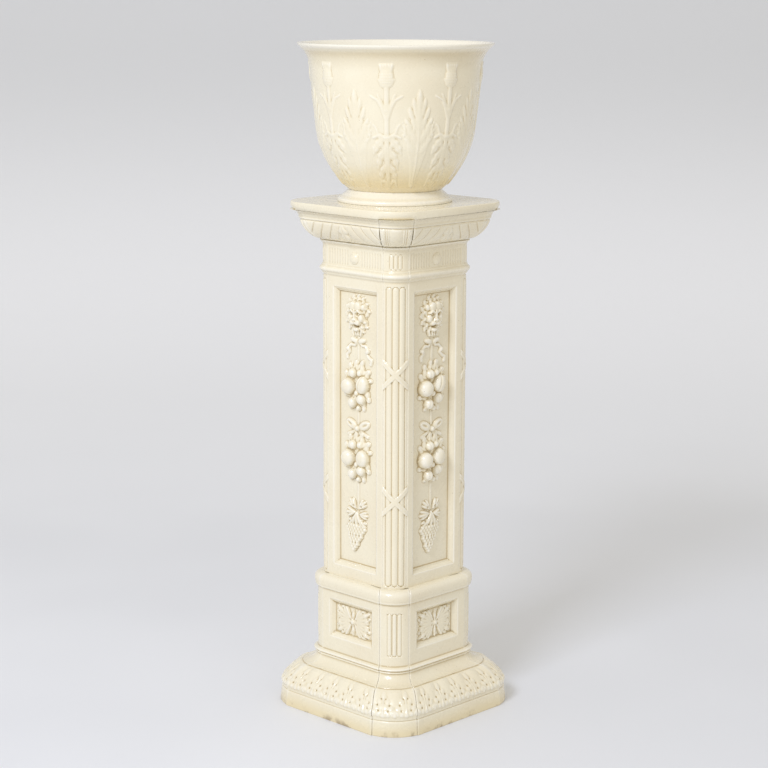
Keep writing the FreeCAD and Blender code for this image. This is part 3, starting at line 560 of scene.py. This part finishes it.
def mould_grid(half, top, low, pitch, pitch_up):
    """Places across and up a sprig mould, in millimetres, and the grid that they make."""
    across, up = np.arange(-half, half + 0.5, pitch), np.arange(top, low, -pitch_up)
    return across, up, *np.meshgrid(across, up)


across, up, a, u = mould_grid(40.8, 24.4, -24.6, 0.8, 0.8)
away, above = np.abs(a), np.abs(u)
rosette = highest(spread_leaf(away, above, (1.0, 0.5), (38.0, 22.0), 34, 3.6, 5, 0.5, 1.0),
                  lump(away, above, (28.5, 16.5), (6.6, 4.6), 2.2, 30, 2.8),
                  lump(away, above, (30.5, 6.5), (5.6, 4.0), 2.6, 12, 1.6),
                  lump(away, above, (14.5, 19.2), (5.0, 3.6), 2.6, 50, 1.6),
                  leaf(away, above, (0.2, 1), (0.2, 24), 3.6, 3.6, 2, 0, 0.5, 0.4),
                  strand(away, above, [(0, 0), (0, 23.5)], (1.6, 1.0), 4.6),
                  lump(a, u, (0, 0), (4.4, 4.4), 3.4, 0, 2.6))
for at, wide in (((23.2, 19.6), 1.5), ((34.6, 11.4), 1.5), ((7.0, 3.6), 1.2), ((5.6, 11.0), 1.2)):
    rosette = rosette - lump(away, above, at, (wide, wide), 4.0)
rosette = glazed_over(rosette, 0.6).clip(0)
DIE_FIELD, PANEL_MIDDLE = 94.5, 157.7
sprigs_round("die_sprig_", "leaf_rosette_", rosette, across, up + PANEL_MIDDLE, DIE_FIELD,
             "plinth")

# ------------------------------------------------------------------ hidden locating lugs
# Plain blocks of unglazed clay luted inside the plinth, one to a side. They stand up into
# the hollow column and keep it in its place.


def biscuit_clay():
    """Fired clay with no glaze: dry, chalky buff with fine grog and finger marks."""
    material, tree, _, (grog, smear) = new_finish("biscuit_clay_unglazed",
                                                  (1.43, 4.0), (28.6, 3.0))
    buff, smeared, grog_tone = "D9CBB0", "C2AF8C", "9A8462"
    colour = layered(tree, to_linear(buff), [(smeared, (smear, 0.35, 0.7, 0.0, 1.0)),
                                             (grog_tone, (grog, 0.6, 0.78, 0.0, 0.6))])
    bump = add_node(tree, "ShaderNodeBump", [], [("Height", grog), ("Strength", 0.5),
                                                 ("Distance", 0.0004)])
    shader = add_node(tree, "ShaderNodeBsdfPrincipled", [],
                      [("Base Color", colour), ("Roughness", 0.86),
                       ("Normal", bump.outputs["Normal"])])
    add_node(tree, "ShaderNodeOutputMaterial", [], [("Surface", shader.outputs[0])])
    return material


biscuit = biscuit_clay()
for side in SIDES:
    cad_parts["locating_lug_" + side].material_slots[0].material = biscuit

# ------------------------------------------------------------------ shaft of the column
# Four tall flats with a sunk panel, and between them bowed strips with three long reeds
# under two crossed ribbons. The seams run down both sides of every strip.

COLUMN_SEAM, COLUMN_BOW = 0.684, 0.31


SHAFT_HALF, SHAFT_INSIDE = 93.2, 76.0


def shaft_line(heights):
    """The shaft is as wide at every height."""
    return np.stack([heights, np.full(len(heights), SHAFT_HALF)], 1)


def shaft_inner(height):
    return SHAFT_INSIDE + 0 * height


flat_heights = graded([739, 735, 725, 714, 260, 249, 237, 230], [6, 6, 16, 60, 16, 6, 10])
flat_columns = graded([-1, -0.985, -0.79, -0.64, 0.64, 0.79, 0.985, 1], [4, 6, 16, 14, 16, 6, 4])
shaft_flat = flat_side(shaft_line(flat_heights), COLUMN_SEAM, flat_columns,
                       sunk_panel(50.0, 250, 724))


def bound_reeds(share, across, run, height):
    """Long reeds with a pair of crossed ribbons over them at two heights."""
    total = reeds(233.5, 735, 5.9)(share, across, run, height)
    for middle in (590, 378):
        for lean in (-1, 1):
            path = [(-24.5, middle - lean * 23), (0, middle), (24.5, middle + lean * 23)]
            band = strand(across, height, path, (4.2, 4.2), 2.4, 0.9)
            total = np.where(band > 0.3, np.maximum(total, 0.4 + band * 0.55), total)
    return total


strip_heights = graded([739, 735, 714, 616, 564, 404, 352, 253, 232, 230],
                       [4, 24, 18, 58, 26, 58, 18, 24, 3])
shaft_strip = bowed_corner(shaft_line(strip_heights), COLUMN_SEAM, COLUMN_BOW,
                           np.linspace(-1, 1, 66), bound_reeds)
walls_round("shaft_", "shaft_face_", SIDES, shaft_flat,
            back_of_flat(shaft_line(flat_heights), COLUMN_SEAM, shaft_inner), "column", glaze)
walls_round("reeded_strip_", "shaft_corner_", CORNERS, shaft_strip,
            back_of_corner(shaft_line(strip_heights), COLUMN_SEAM, shaft_inner), "column", glaze)

# ------------------------------------------------------------------ lion masks
# A lion's face with heavy brows, broad nose and open mouth in a mane of curling locks,
# pressed in a sprig mould and stuck at the top of each panel.

PANEL_FIELD, MASK_MIDDLE = 84.2, 681.0
across, up, a, u = mould_grid(31, 36, -35.5, 0.7, 0.7)
away = np.abs(a)
mane = np.zeros_like(a)
for ring, (count, near, far, rise) in enumerate(((15, 16.5, 27.5, 4.6), (13, 11.5, 21.5, 7.2))):
    for lock in range(count):
        angle = 2 * math.pi * (lock + 0.5 * ring) / count
        curl = 0.42 if (angle % (2 * math.pi)) < math.pi else -0.42
        path = [(reach * math.cos(angle + twist), reach * math.sin(angle + twist) * 1.18)
                for reach, twist in ((near, 0), (near * 0.6 + far * 0.4, curl * 0.15),
                                     (near * 0.25 + far * 0.75, curl * 0.7), (far, curl * 0.5))]
        mane = np.maximum(mane, strand(a, u, path, (4.4, 2.4), rise, 1.3))
beard = [strand(away, u, [(x, -19), (x * 1.6, -26), (x * 1.2, -34)], (3.2, 1.6), 6.6, 1.0)
         for x in (1.8, 6.4)]
ruff = lump(a, u, (0, 1), (21, 27), 5.6)
skull = lump(a, u, (0, 4), (17.0, 21.0), 10.4)
mask = highest(mane, ruff, skull, *beard,
               lump(away, u, (5.4, 14.0), (7.4, 8.4), 4.0, 0, 8.6),
               lump(away, u, (15.0, 13.5), (4.4, 5.6), 3.6, -30, 5.6),
               strand(away, u, [(2.6, 4.4), (7.5, 8.2), (13.4, 4.6)], (3.0, 2.2), 13.4),
               lump(away, u, (11.4, -4.5), (5.6, 7.2), 4.4, 0, 7.0),
               strand(a, u, [(0, 9.0), (0, -6.0)], (3.4, 4.4), 13.6),
               lump(a, u, (0, -7.6), (5.6, 3.8), 4.2, 0, 10.6),
               lump(away, u, (5.0, -12.0), (6.4, 5.2), 4.6, 0, 9.0),
               lump(a, u, (0, -24.0), (6.4, 4.0), 4.2, 0, 6.0))
socket = lump(away, u, (6.8, 1.4), (4.2, 3.2), 4.6)
mask = mask - socket + lump(away, u, (6.6, 1.3), (2.3, 2.0), 3.2)
mask = mask - lump(a, u, (0, -18.2), (6.4, 3.4), 5.6) - lump(away, u, (2.6, -9.4), (1.4, 1.2), 2.0)
mask = glazed_over(mask, 0.6).clip(0)
sprigs_round("lion_", "lion_mask_", mask, across, up + MASK_MIDDLE, PANEL_FIELD, "column")

# ------------------------------------------------------------------ drops of fruit
# One long sprig under each mask: fluttering ribbon ends, two bunches of fruit and leaves
# on a cord with a bow between them, and vine leaves over a bunch of grapes.

across, up, a, u = mould_grid(38, 644, 275.5, 0.95, 0.95)


def fruit(at, reach, rise, lift, crease=0.0, lean=0.0):
    """Round fruit standing clear of the field, with a crease down it if it has one."""
    body = lump(a, u, at, reach, rise, lean, lift)
    cos, sin = math.cos(math.radians(lean)), math.sin(math.radians(lean))
    side = (a - at[0]) * cos + (u - at[1]) * sin + 0.25 * reach[0]
    return body - (body > 0) * crease * np.exp(-(side / 1.2) ** 2)


def pitted(at, reach, rise, lift):
    """Berry with rows of rounded pips all over."""
    body = lump(a, u, at, reach, rise, 0, lift)
    pips = np.sin((a - at[0] + u) * 1.25) * np.sin((a - at[0] - u) * 1.25)
    return body + (body > 0) * 0.75 * pips


def bunch(middle, pitted_side):
    parts = [fruit((-18, middle - 2), (13.6, 13.8), 12.0, 6.0),
             fruit((-8, middle + 21), (8.4, 8.0), 8.0, 5.0, 1.0),
             fruit((7, middle + 22), (6.0, 6.2), 6.0, 3.6),
             fruit((11, middle - 21), (8.8, 9.0), 8.0, 5.0, 1.0, 20),
             fruit((-10, middle - 29), (8.2, 9.0), 8.0, 4.6, 1.0, -10),
             fruit((3, middle - 37), (4.4, 4.6), 4.6, 3.0),
             fruit((0, middle - 12), (5.0, 5.0), 5.0, 4.0)]
    if pitted_side:
        parts.append(pitted((14, middle), (12.4, 14.4), 9.0, 6.0))
    else:
        parts.append(fruit((14, middle + 3), (12.4, 15.0), 9.0, 6.0, 1.5, -14))
    for tip, width in (((-30, 22), 8.4), ((-19, 38), 7.8), ((12, 44), 7.6), ((28, 28), 8.4),
                       ((33, 12), 7.0), ((-32, -18), 8.4), ((28, -25), 8.4), ((-18, -41), 7.0),
                       ((15, -42), 7.0), ((-3, 44), 7.0)):
        parts.append(leaf(a, u, (tip[0] * 0.1, middle + tip[1] * 0.15),
                          (tip[0], middle + tip[1]), width * 1.25, 4.4, 2, 1.6, 1.2, 1.2))
    return highest(*parts)


def bow(middle):
    parts = [lump(a, u, (0, middle - 3), (4.4, 4.8), 4.6, 0, 2.8)]
    for side in (-1, 1):
        loop = lump(a, u, (side * 14.5, middle + 3), (13.6, 7.6), 4.0, side * 24, 1.2)
        fold = lump(a, u, (side * 17.5, middle + 4.4), (7.0, 2.6), 2.2, side * 24)
        parts.append(loop - fold)
        for tail in ([(0, middle - 3), (side * 6, middle - 13), (side * 11, middle - 22)],
                     [(side * 2, middle - 4), (side * 13, middle - 11), (side * 22, middle - 15)]):
            parts.append(strand(a, u, tail, (2.0, 3.6), 3.4, 1.1))
    return highest(*parts)


def fluttering_ends():
    """Two small loops at the chin and wavy ends, the right one longer."""
    left = [(-2, 636), (-8, 629), (-16, 630), (-22, 625), (-20, 618), (-26, 612), (-25, 607)]
    right = [(2, 636), (9, 630), (16, 630), (22, 624), (19, 617), (25, 611), (31, 608), (29, 601)]
    loops = [lump(a, u, (side * 9, 638), (9.0, 4.6), 3.0, side * 14, 1.6) for side in (-1, 1)]
    return highest(strand(a, u, left, (2.2, 3.2), 3.8, 1.3),
                   strand(a, u, right, (2.2, 3.2), 3.8, 1.3),
                   lump(a, u, (-23, 622), (4.6, 3.6), 2.8, -30, 2.0),
                   lump(a, u, (22, 621), (4.6, 3.6), 2.8, 30, 2.0), *loops)


def vine():
    """Pieces of vine leaf that stand round the stalk over the shoulders of the grapes."""
    parts = [spread_leaf(a, u, (side * 3, low), (side * reach, high), fan, 3.8, 3, 1.0, 1.2)
             for side, low, reach, high, fan in ((-1, 352, 19, 368, 30), (1, 352, 18, 368, 30),
                                                 (-1, 346, 28, 344, 30), (1, 344, 24, 343, 30),
                                                 (-1, 340, 21, 323, 26), (1, 338, 19, 322, 26))]
    total = highest(spread_leaf(a, u, (0, 350), (-2, 321), 34, 4.4, 3, 1.0, 2.2), *parts)
    for at in ((-9, 357), (9, 357), (-14, 334), (13, 333)):
        total = total - lump(a, u, at, (2.3, 2.3), 4.6)
    return total


grapes = np.zeros_like(a)
for row, count in enumerate((6, 7, 6, 5, 5, 4, 3, 3, 2, 1)):
    for place in range(count):
        middle = ((place - (count - 1) / 2) * 6.6 - 3.4 - row * 0.45, 323 - row * 4.5)
        lift = 3.4 - 0.8 * abs(place - (count - 1) / 2)
        grapes = np.maximum(grapes, lump(a, u, middle, (3.6, 3.6), 3.6, 0, max(lift, 0.8)))
cord = highest(strand(a, u, [(-1.2, 642), (-1.2, 352)], (1.3, 1.3), 2.0),
               strand(a, u, [(1.2, 642), (1.2, 352)], (1.3, 1.3), 2.0))
drop = highest(cord, fluttering_ends(), bunch(562, False), bow(493), bunch(441, True),
               vine(), grapes)
drop = glazed_over(drop, 0.55).clip(0)
sprigs_round("fruit_", "fruit_drop_", drop, across, up, PANEL_FIELD, "column")

# ------------------------------------------------------------------ capital
# Astragal, fluted frieze, ovolo with slanting godroons and the small mouldings that
# carry the table. The corners have a plain swelling middle between pairs of leaves.

cap_line = moulding([(848.5, 137.2, 0), (839.6, 127.2, -2.6), (839.3, 126.3, 0),
                     (834.0, 126.3, 0), (833.7, 123.2, 0), (833.2, 124.2, 0),
                     (800.5, 100.5, 4.4), (800.2, 93.8, 0), (798.8, 98.6, 0),
                     (797.0, 98.7, 0), (789.5, 94.4, -1.2),
                     (759.5, 94.4, 0), (759.1, 95.7, 0), (756.5, 95.7, 0), (746.0, 95.7, 3.5),
                     (743.5, 95.4, 0), (739.0, 93.2, -0.8)], 0.95)


# where the carving of the ovolo and of the frieze starts and ends, and how softly
OVOLO = (802.0, 2.5, 2.0, 832.5)
FRIEZE = (760.5, 2.5, 2.5, 788.5)


def between(height, low, fade_in, fade_out, high):
    """1 between two heights, easing to 0 over a given length inside each."""
    return (((height - low) / fade_in).clip(0, 1) * ((high - height) / fade_out).clip(0, 1))


def godroons(share, across, run, height):
    """Slanting lobes on the ovolo, a leaf in the middle, and upright flutes on the frieze."""
    down = np.clip((833 - height) / 33, 0, 1)
    away = np.abs(across)
    place = ((away - 26 * down ** 1.4) / 21.5) % 1.0
    lobe = 2.1 * np.sqrt(np.clip(1 - (2 * place - 1) ** 2, 0, 1)) - 0.7
    lobe = lobe + 0.8 * np.exp(-((place - 0.12) / 0.06) ** 2)
    middle = leaf(across, -height, (0, -836), (0, -799), 11, 2.6, 3, 0, 0.8)
    lobe = np.where(middle > 0.06, middle, np.where(away < 3 + 20 * down, 0.2, lobe))
    flutes = -0.8 * np.sin(math.pi * (away - 13.4) / 6.0) ** 2 * (away > 13.4) * (away < 61.4)
    return soften(lobe * between(height, *OVOLO) + flutes * between(height, *FRIEZE), 0.6, 1)


def cap_corner_relief(share, across, run, height):
    """Plain middle, two fillets and a veined leaf each side, and short reeds below."""
    away = np.abs(share)
    fillets = sum(1.7 * np.exp(-((away - place) / 0.035) ** 2) for place in (0.42, 0.54))
    vein = ((833 - height) / 9 - np.abs(away - 0.78) * 9) % 1.0
    leaf_side = np.clip(1 - ((away - 0.78) / 0.17) ** 2, 0, 1) ** 0.5 * (1.6 + 0.9 * vein)
    plain = 1.6 * np.clip(1 - (away / 0.38) ** 2, 0, 1) ** 0.5
    short = reeds(762, 787.5, 3.7, 1.8)(share, across, run, height)
    return soften((fillets + leaf_side + plain) * between(height, *OVOLO), 0.5, 1) + short


def cap_inner(height):
    """Straight on from the shaft, then spreading under the table as the ovolo does."""
    return SHAFT_INSIDE + 47.2 * np.clip(height - 795.5, 0, None) / 53.0


cap_flat = flat_side(cap_line, COLUMN_SEAM, np.linspace(-1, 1, 180), godroons)
cap_bow = bowed_corner(cap_line, COLUMN_SEAM, COLUMN_BOW * 0.9, np.linspace(-1, 1, 70),
                       cap_corner_relief)
walls_round("capital_", "cap_face_", SIDES, cap_flat,
            back_of_flat(cap_line, COLUMN_SEAM, cap_inner), "column", glaze)
walls_round("capital_corner_", "cap_corner_", CORNERS, cap_bow,
            back_of_corner(cap_line, COLUMN_SEAM, cap_inner), "column", glaze)

# ------------------------------------------------------------------ buttons on the frieze
# A small domed button of clay in the middle of each side of the frieze, pressed in a
# sprig mould and stuck on before the glazing.

across, up, a, u = mould_grid(10.5, 10.5, -10.6, 0.6, 0.6)
button = highest(lump(a, u, (0, 0), (9.5, 9.8), 1.4, 0, 1.6),
                 lump(a, u, (0, 0), (7.8, 8.0), 3.4, 0, 1.6))
button = glazed_over(button, 0.7).clip(0)
FRIEZE_FIELD, FRIEZE_MIDDLE = 94.3, 774.0
sprigs_round("frieze_button_", "frieze_boss_", button, across, up + FRIEZE_MIDDLE,
             FRIEZE_FIELD, "column")

# ------------------------------------------------------------------ table of the column
# One slab of rolled clay that closes the top, cut to the plan of the capital and drawn in
# underneath, with edges rounded by the sponge.

SLAB_HALF, SLAB_TOP, SLAB_UNDER = 138.2, 862.0, 848.5
plan = []
slab_level = np.array([[SLAB_UNDER, SLAB_HALF], [SLAB_UNDER - 1, SLAB_HALF]])
rim = bowed_corner(slab_level, COLUMN_SEAM, COLUMN_BOW * 0.7, np.linspace(-1, 1, 15),
                   lambda share, across, run, height: 0 * across, 0.993)[0, 1:-1]
edge = COLUMN_SEAM * SLAB_HALF
for turn in range(4):
    side = np.array([[-edge + 1, -SLAB_HALF, SLAB_UNDER], [edge - 1, -SLAB_HALF, SLAB_UNDER]])
    plan += list(quarter_turns(np.concatenate([side, rim]), turn))
shape = bmesh.new()
base = shape.faces.new([shape.verts.new(point * 0.001) for point in plan])
top = bmesh.ops.extrude_face_region(shape, geom=[base], use_keep_orig=True)["geom"]
bmesh.ops.translate(shape, vec=(0, 0, (SLAB_TOP - SLAB_UNDER) * 0.001),
                    verts=[item for item in top if isinstance(item, bmesh.types.BMVert)])
bmesh.ops.bisect_plane(shape, geom=shape.verts[:] + shape.edges[:] + shape.faces[:],
                       plane_co=(0, 0, 0.855), plane_no=(0, 0, 1))
for vert in shape.verts:
    if vert.co.z < 0.849 and min(abs(vert.co.x), abs(vert.co.y)) > 0.0955:
        vert.co.xy *= 0.972
bmesh.ops.recalc_face_normals(shape, faces=shape.faces)
rims = [item for item in shape.edges
        if item.calc_face_angle() > 0.9 and abs(item.verts[0].co.z - item.verts[1].co.z) < 1e-6]
bmesh.ops.bevel(shape, geom=rims, offset=0.0021, offset_type="OFFSET", segments=4,
                profile=0.5, affect="EDGES", material=-1)
flats = [face for face in shape.faces if len(face.verts) > 40]
bmesh.ops.inset_region(shape, faces=flats, thickness=0.0015)
fired("table", shape, "column", ["table_slab"], glaze)

# ------------------------------------------------------------------ the pot
# A round-bottomed bowl with a thin flared lip, turned and then dipped, so that yellow
# glaze has run down and gathered thick above the foot.

POT_OUTSIDE = [(1113.4, 157.2), (1110.5, 153.0), (1107, 149.3), (1100, 145.0), (1088, 141.0),
               (1076, 139.8), (1061, 138.9), (1044, 137.0), (1027, 135.3), (1003, 132.5),
               (975, 129.0), (957, 125.0), (944, 119.8), (929, 113.3), (915, 104.6),
               (901, 95.3), (888, 84.6), (882.2, 77.3)]
pot_line = np.array(POT_OUTSIDE)
pot_run = np.concatenate([[0.0], np.cumsum(np.hypot(*np.diff(pot_line, axis=0).T))])
pot_even = np.linspace(0, pot_run[-1], 130)
pot_line = np.stack([np.interp(pot_even, pot_run, pot_line[:, 0]),
                     np.interp(pot_even, pot_run, pot_line[:, 1])], 1)
pot_line = soften(pot_line, 3.0, 0)
POT_LIP = [(1115.6, 159.6), (1117.4, 160.7), (1119.0, 160.6), (1119.9, 159.3), (1119.6, 157.0),
           (1118.0, 154.5), (1115.0, 151.5)]
POT_INSIDE = [(1110, 147.2), (1100, 139.6), (1088, 134.8), (1061, 132.0), (1027, 128.2),
              (1003, 125.4), (975, 121.6), (957, 117.4), (944, 112.4), (929, 105.2), (915, 96.0),
              (904, 84.6), (896, 70.0), (891.6, 50.0), (890.4, 25.0)]


def turned(name, profile, steps, body, node, finish, closed):
    """Clay turned on the wheel: a half outline of (height, radius) spun round the axis."""
    line = np.array(profile)
    up_line, out_line = outward(line)
    hollow = ((soften(line, 3.0, 0) - line) * np.hstack([up_line, out_line])).sum(1)
    shape = bmesh.new()
    layer = shape.verts.layers.float.new("pooling")
    chain = [shape.verts.new((radius * 0.001, 0, height * 0.001)) for height, radius in line]
    for vert, depth in zip(chain, hollow):
        vert[layer] = depth
    edges = [shape.edges.new(pair) for pair in zip(chain, chain[1:])]
    if closed:
        edges.append(shape.edges.new((chain[-1], chain[0])))
    bmesh.ops.spin(shape, geom=chain + edges, cent=(0, 0, 0), axis=(0, 0, 1),
                   angle=2 * math.pi, steps=steps, use_merge=True)
    bmesh.ops.remove_doubles(shape, verts=shape.verts, dist=1e-6)
    fired(name, shape, body, [node], finish)


pot_glaze = cream_glaze("cream_glaze_run_down_the_pot", (0.884, 0.93), 0.3)
pot_profile = ([(890.0, 0.0)] + POT_INSIDE[::-1] + POT_LIP[::-1]
               + [tuple(point) for point in pot_line] + [(882.0, 68.0), (882.0, 0.0)])
turned("pot_bowl_turned", pot_profile, 192, "jardiniere", "pot_bowl", pot_glaze, False)

# ------------------------------------------------------------------ the pot's foot ring
# A low flared ring turned from the same clay, hollow inside, luted under the bowl and
# wiped clean of glaze where it stands.

ring_profile = [(881.9, 68.0), (881.9, 77.0), (880.5, 78.0), (878, 80.6), (874.5, 84.8),
                (871.5, 88.2), (869.3, 91.8), (868.0, 94.2), (866.8, 95.1), (864.0, 95.2),
                (862.4, 94.8), (862.0, 93.8), (862.0, 86.4), (863.4, 85.2), (874, 76.5)]
turned("foot_ring_turned", ring_profile, 160, "jardiniere", "pot_foot_ring", glaze, True)

# ------------------------------------------------------------------ relief round the pot
# Eight thistles on long stems and eight tall toothed leaves between them, pressed thin
# and smoothed on to the bowl so that they melt into it under the glaze.

from_rim = pot_line[::-1]
pot_up, pot_out = outward(pot_line)
POT_REACH = 132.0


def on_pot(start):
    """Where a sprig lies round the bowl: millimetres across become turn about the axis."""
    def place(across, up, lift):
        radius = np.interp(up, from_rim[:, 0], from_rim[:, 1])
        rising = np.interp(up, from_rim[:, 0], pot_up[::-1, 0])
        out = np.interp(up, from_rim[:, 0], pot_out[::-1, 0])
        angle = across / POT_REACH + math.radians(start - 90)
        reach = radius + out * lift
        return np.stack([reach * np.cos(angle), reach * np.sin(angle), up + rising * lift], -1)
    return place


across, up, a, u = mould_grid(28, 1092, 886.5, 1.15, 1.2)
away = np.abs(a)
scales = 1.1 * np.sin((a + (u - 1070) * 0.8) * 0.9) * np.sin((a - (u - 1070) * 0.8) * 0.9)
bud = lump(a, u, (0, 1069), (10.8, 14.5), 4.0, 0, 0.8)
bud = bud + (bud > 0) * scales
crown = [strand(a, u, [(x * 0.7, 1076), (x, 1088.5)], (2.8, 2.2), 3.0)
         for x in (-8.6, -4.3, 0, 4.3, 8.6)]
thistle = highest(strand(away, u, [(1.9, 892), (1.6, 1056)], (2.3, 2.0), 2.4), bud, *crown,
                  strand(away, u, [(0, 1053), (7, 1057), (11.5, 1066)], (2.4, 1.4), 2.4),
                  lump(a, u, (0, 1018), (6.0, 3.4), 3.0), lump(a, u, (0, 975), (9.0, 3.6), 3.2),
                  strand(away, u, [(1, 1006), (7, 1022), (14, 1034), (25, 1040)], (3.6, 1.2),
                         2.6, 0.7),
                  strand(away, u, [(1, 1014), (8, 1030), (14, 1043)], (2.6, 1.0), 2.2, 0.4),
                  strand(away, u, [(2, 973), (12, 979), (23, 974)], (3.4, 1.6), 2.4, 0.5),
                  strand(away, u, [(1, 930), (7, 962), (18, 992), (26, 998)], (3.0, 1.6), 1.9, 0.5),
                  leaf(away, u, (2, 974), (25, 946), 7.0, 2.0, 3, 3.0, 0.7, 0.3),
                  leaf(away, u, (2, 958), (19, 922), 6.6, 2.0, 3, 2.4, 0.7, 0.3),
                  leaf(away, u, (2, 932), (17, 902), 6.0, 2.0, 3, 1.6, 0.7, 0.3),
                  strand(away, u, [(2, 894), (9, 903), (16, 902), (17, 894)], (2.8, 1.8), 2.2, 0.4))
for at in ((15.0, 951), (24.0, 996)):
    thistle = thistle - lump(away, u, at, (1.6, 1.6), 2.2)
thistle = 0.66 * glazed_over(thistle, 0.75).clip(0)
stuck_on("thistles", thistle, across, up, on_pot(-7.0), "jardiniere", ["thistle_stems"],
         pot_glaze, 8)

across, up, a, u = mould_grid(30, 1053, 889.5, 1.15, 1.2)
away = np.abs(a)
leaflets = [leaf(away, u, (0.6, tip[1] - drop), tip, width, 2.6, 1, -1.6, 0.8, 0.4)
            for tip, drop, width in (((9.5, 1037), 34, 5.0), ((16.5, 1023), 38, 5.6),
                                     ((22.5, 1006), 42, 5.8), ((27.5, 988), 44, 5.6))]
fan = [strand(away, u, [(0.9 + reach * 0.1, 894), (reach * 0.5, 940), (reach * 0.86, 976),
                        (reach, 994)], (1.5, 2.2), 2.2)
       for reach in (3.5, 8.5, 13.5, 18.5, 23.5)]
acanthus = highest(leaf(a, u, (0, 985), (0, 1051), 8, 2.8, 1, 0, 0.8, 0.4), *leaflets, *fan,
                   lump(a, u, (0, 956), (25, 60), 1.2),
                   strand(a, u, [(0, 893), (0, 1044)], (2.4, 0.8), 3.4))
for at in ((22.0, 975), (14.5, 1003), (26.5, 982), (20.5, 995)):
    acanthus = acanthus - lump(away, u, at, (1.7, 1.7), 2.2)
acanthus = 0.62 * glazed_over(acanthus, 0.75).clip(0)
stuck_on("acanthus", acanthus, across, up, on_pot(15.5), "jardiniere", ["acanthus_leaves"],
         pot_glaze, 8)

# ------------------------------------------------------------------ floor, light and camera
# A seamless pale grey sweep of painted board that turns up far behind the stand, one soft
# light high on the left, a weak fill in front, and the camera where the photograph's was.


def grey_sweep():
    """Matt painted studio floor with faint scuffs, a slow random change of tone, painted light far
    back and painted shade up the backdrop.
    """
    material, tree, where, (tone, grain) = new_finish("grey_studio_floor",
                                                      (909.0, 2.0), (3.846, 3.0))
    back = add_node(tree, "ShaderNodeVectorMath", [("operation", "DOT_PRODUCT")],
                    [(0, where), (1, (0.714, 0.7, 0.0))]).outputs["Value"]
    height = add_node(tree, "ShaderNodeSeparateXYZ", [], [("Vector", where)]).outputs["Z"]
    # painted light makes the floor lighter far behind the stand, and painted shade makes the
    # backdrop darker as it rises
    pale, worn, painted_light_far_back, painted_shade_up_the_backdrop, scuff = "EBECEF", "E6E7EA", "FAFBFE", "E2E3E5", "BFC0C3"
    colour = layered(tree, to_linear(pale), [(worn, (tone, 0.35, 0.65, 0.0, 1.0)),
                                             (painted_light_far_back, (back, 0.4, 2.8, 0.0, 1.0)),
                                             (painted_shade_up_the_backdrop, (height, 0.15, 1.0, 0.0, 1.0)),
                                             (scuff, (grain, 0.62, 0.8, 0.0, 0.2))])
    shader = add_node(tree, "ShaderNodeBsdfPrincipled", [], [("Base Color", colour),
                                                             ("Roughness", 0.62)])
    add_node(tree, "ShaderNodeOutputMaterial", [], [("Surface", shader.outputs[0])])
    return material


FLOOR_END, BEND_START, BEND_RADIUS, BOARD_HALF, BOARD_TOP = -3.5, 2.6, 1.6, 5.5, 5.0
bend = [(FLOOR_END, 0.0), (BEND_START, 0.0)]
bend += [(BEND_START + BEND_RADIUS * math.sin(t), BEND_RADIUS - BEND_RADIUS * math.cos(t))
         for t in np.linspace(0.13, 1.57, 12)]
bend.append((BEND_START + BEND_RADIUS, BOARD_TOP))
sweep = bmesh.new()
profile = [sweep.verts.new((-BOARD_HALF, along, height)) for along, height in bend]
edges = [sweep.edges.new(pair) for pair in zip(profile, profile[1:])]
drawn = bmesh.ops.extrude_edge_only(sweep, edges=edges)["geom"]
bmesh.ops.translate(sweep, vec=(2 * BOARD_HALF, 0, 0),
                    verts=[item for item in drawn if isinstance(item, bmesh.types.BMVert)])
bmesh.ops.rotate(sweep, cent=(0, 0, 0), matrix=Matrix.Rotation(math.radians(-45.6), 3, "Z"),
                 verts=sweep.verts)
bmesh.ops.recalc_face_normals(sweep, faces=sweep.faces)
floor_mesh = bpy.data.meshes.new("studio_floor")
sweep.to_mesh(floor_mesh)
sweep.free()
floor_mesh.polygons.foreach_set("use_smooth", [True] * len(floor_mesh.polygons))
floor_mesh.materials.append(grey_sweep())
studio_floor = bpy.data.objects.new("studio_floor", floor_mesh)
bpy.context.scene.collection.objects.link(studio_floor)

world = bpy.data.worlds.new("soft_studio")
bpy.context.scene.world = world
world.use_nodes = True
world.node_tree.nodes["Background"].inputs["Color"].default_value = to_linear("F8F5EF")
world.node_tree.nodes["Background"].inputs["Strength"].default_value = 0.75


def soft_light(name, at, aim, wide, power, tint):
    lamp = bpy.data.lights.new(name, "AREA")
    lamp.shape, lamp.size, lamp.energy = "SQUARE", wide, power
    lamp.color = to_linear(tint)[:3]
    holder = bpy.data.objects.new(name, lamp)
    holder.location = at
    holder.rotation_euler = (Vector(aim) - Vector(at)).to_track_quat("-Z", "Y").to_euler()
    bpy.context.scene.collection.objects.link(holder)


soft_light("key_on_the_left", (-3.1, -0.8, 3.1), (0, 0, 0.6), 1.25, 88, "E6EDFF")
soft_light("fill_in_front", (-1.2, -3.4, 1.8), (0, 0, 0.6), 2.2, 4, "FFF3E0")

camera = bpy.data.cameras.new("photo_view")
camera.lens, camera.sensor_width, camera.clip_end = 95.95, 36.0, 60.0
eye = bpy.data.objects.new("photo_view", camera)
eye.rotation_mode = "XYZ"
eye.location = (-2.4227, -2.3480, 1.2199)
eye.rotation_euler = (Matrix.Rotation(math.radians(-45.603), 3, "Z")
                      @ Matrix.Rotation(math.radians(78.817), 3, "X")
                      @ Matrix.Rotation(math.radians(0.1866), 3, "Z")).to_euler()
bpy.context.scene.collection.objects.link(eye)
bpy.context.scene.camera = eye
bpy.context.scene.view_settings.view_transform = "Standard"
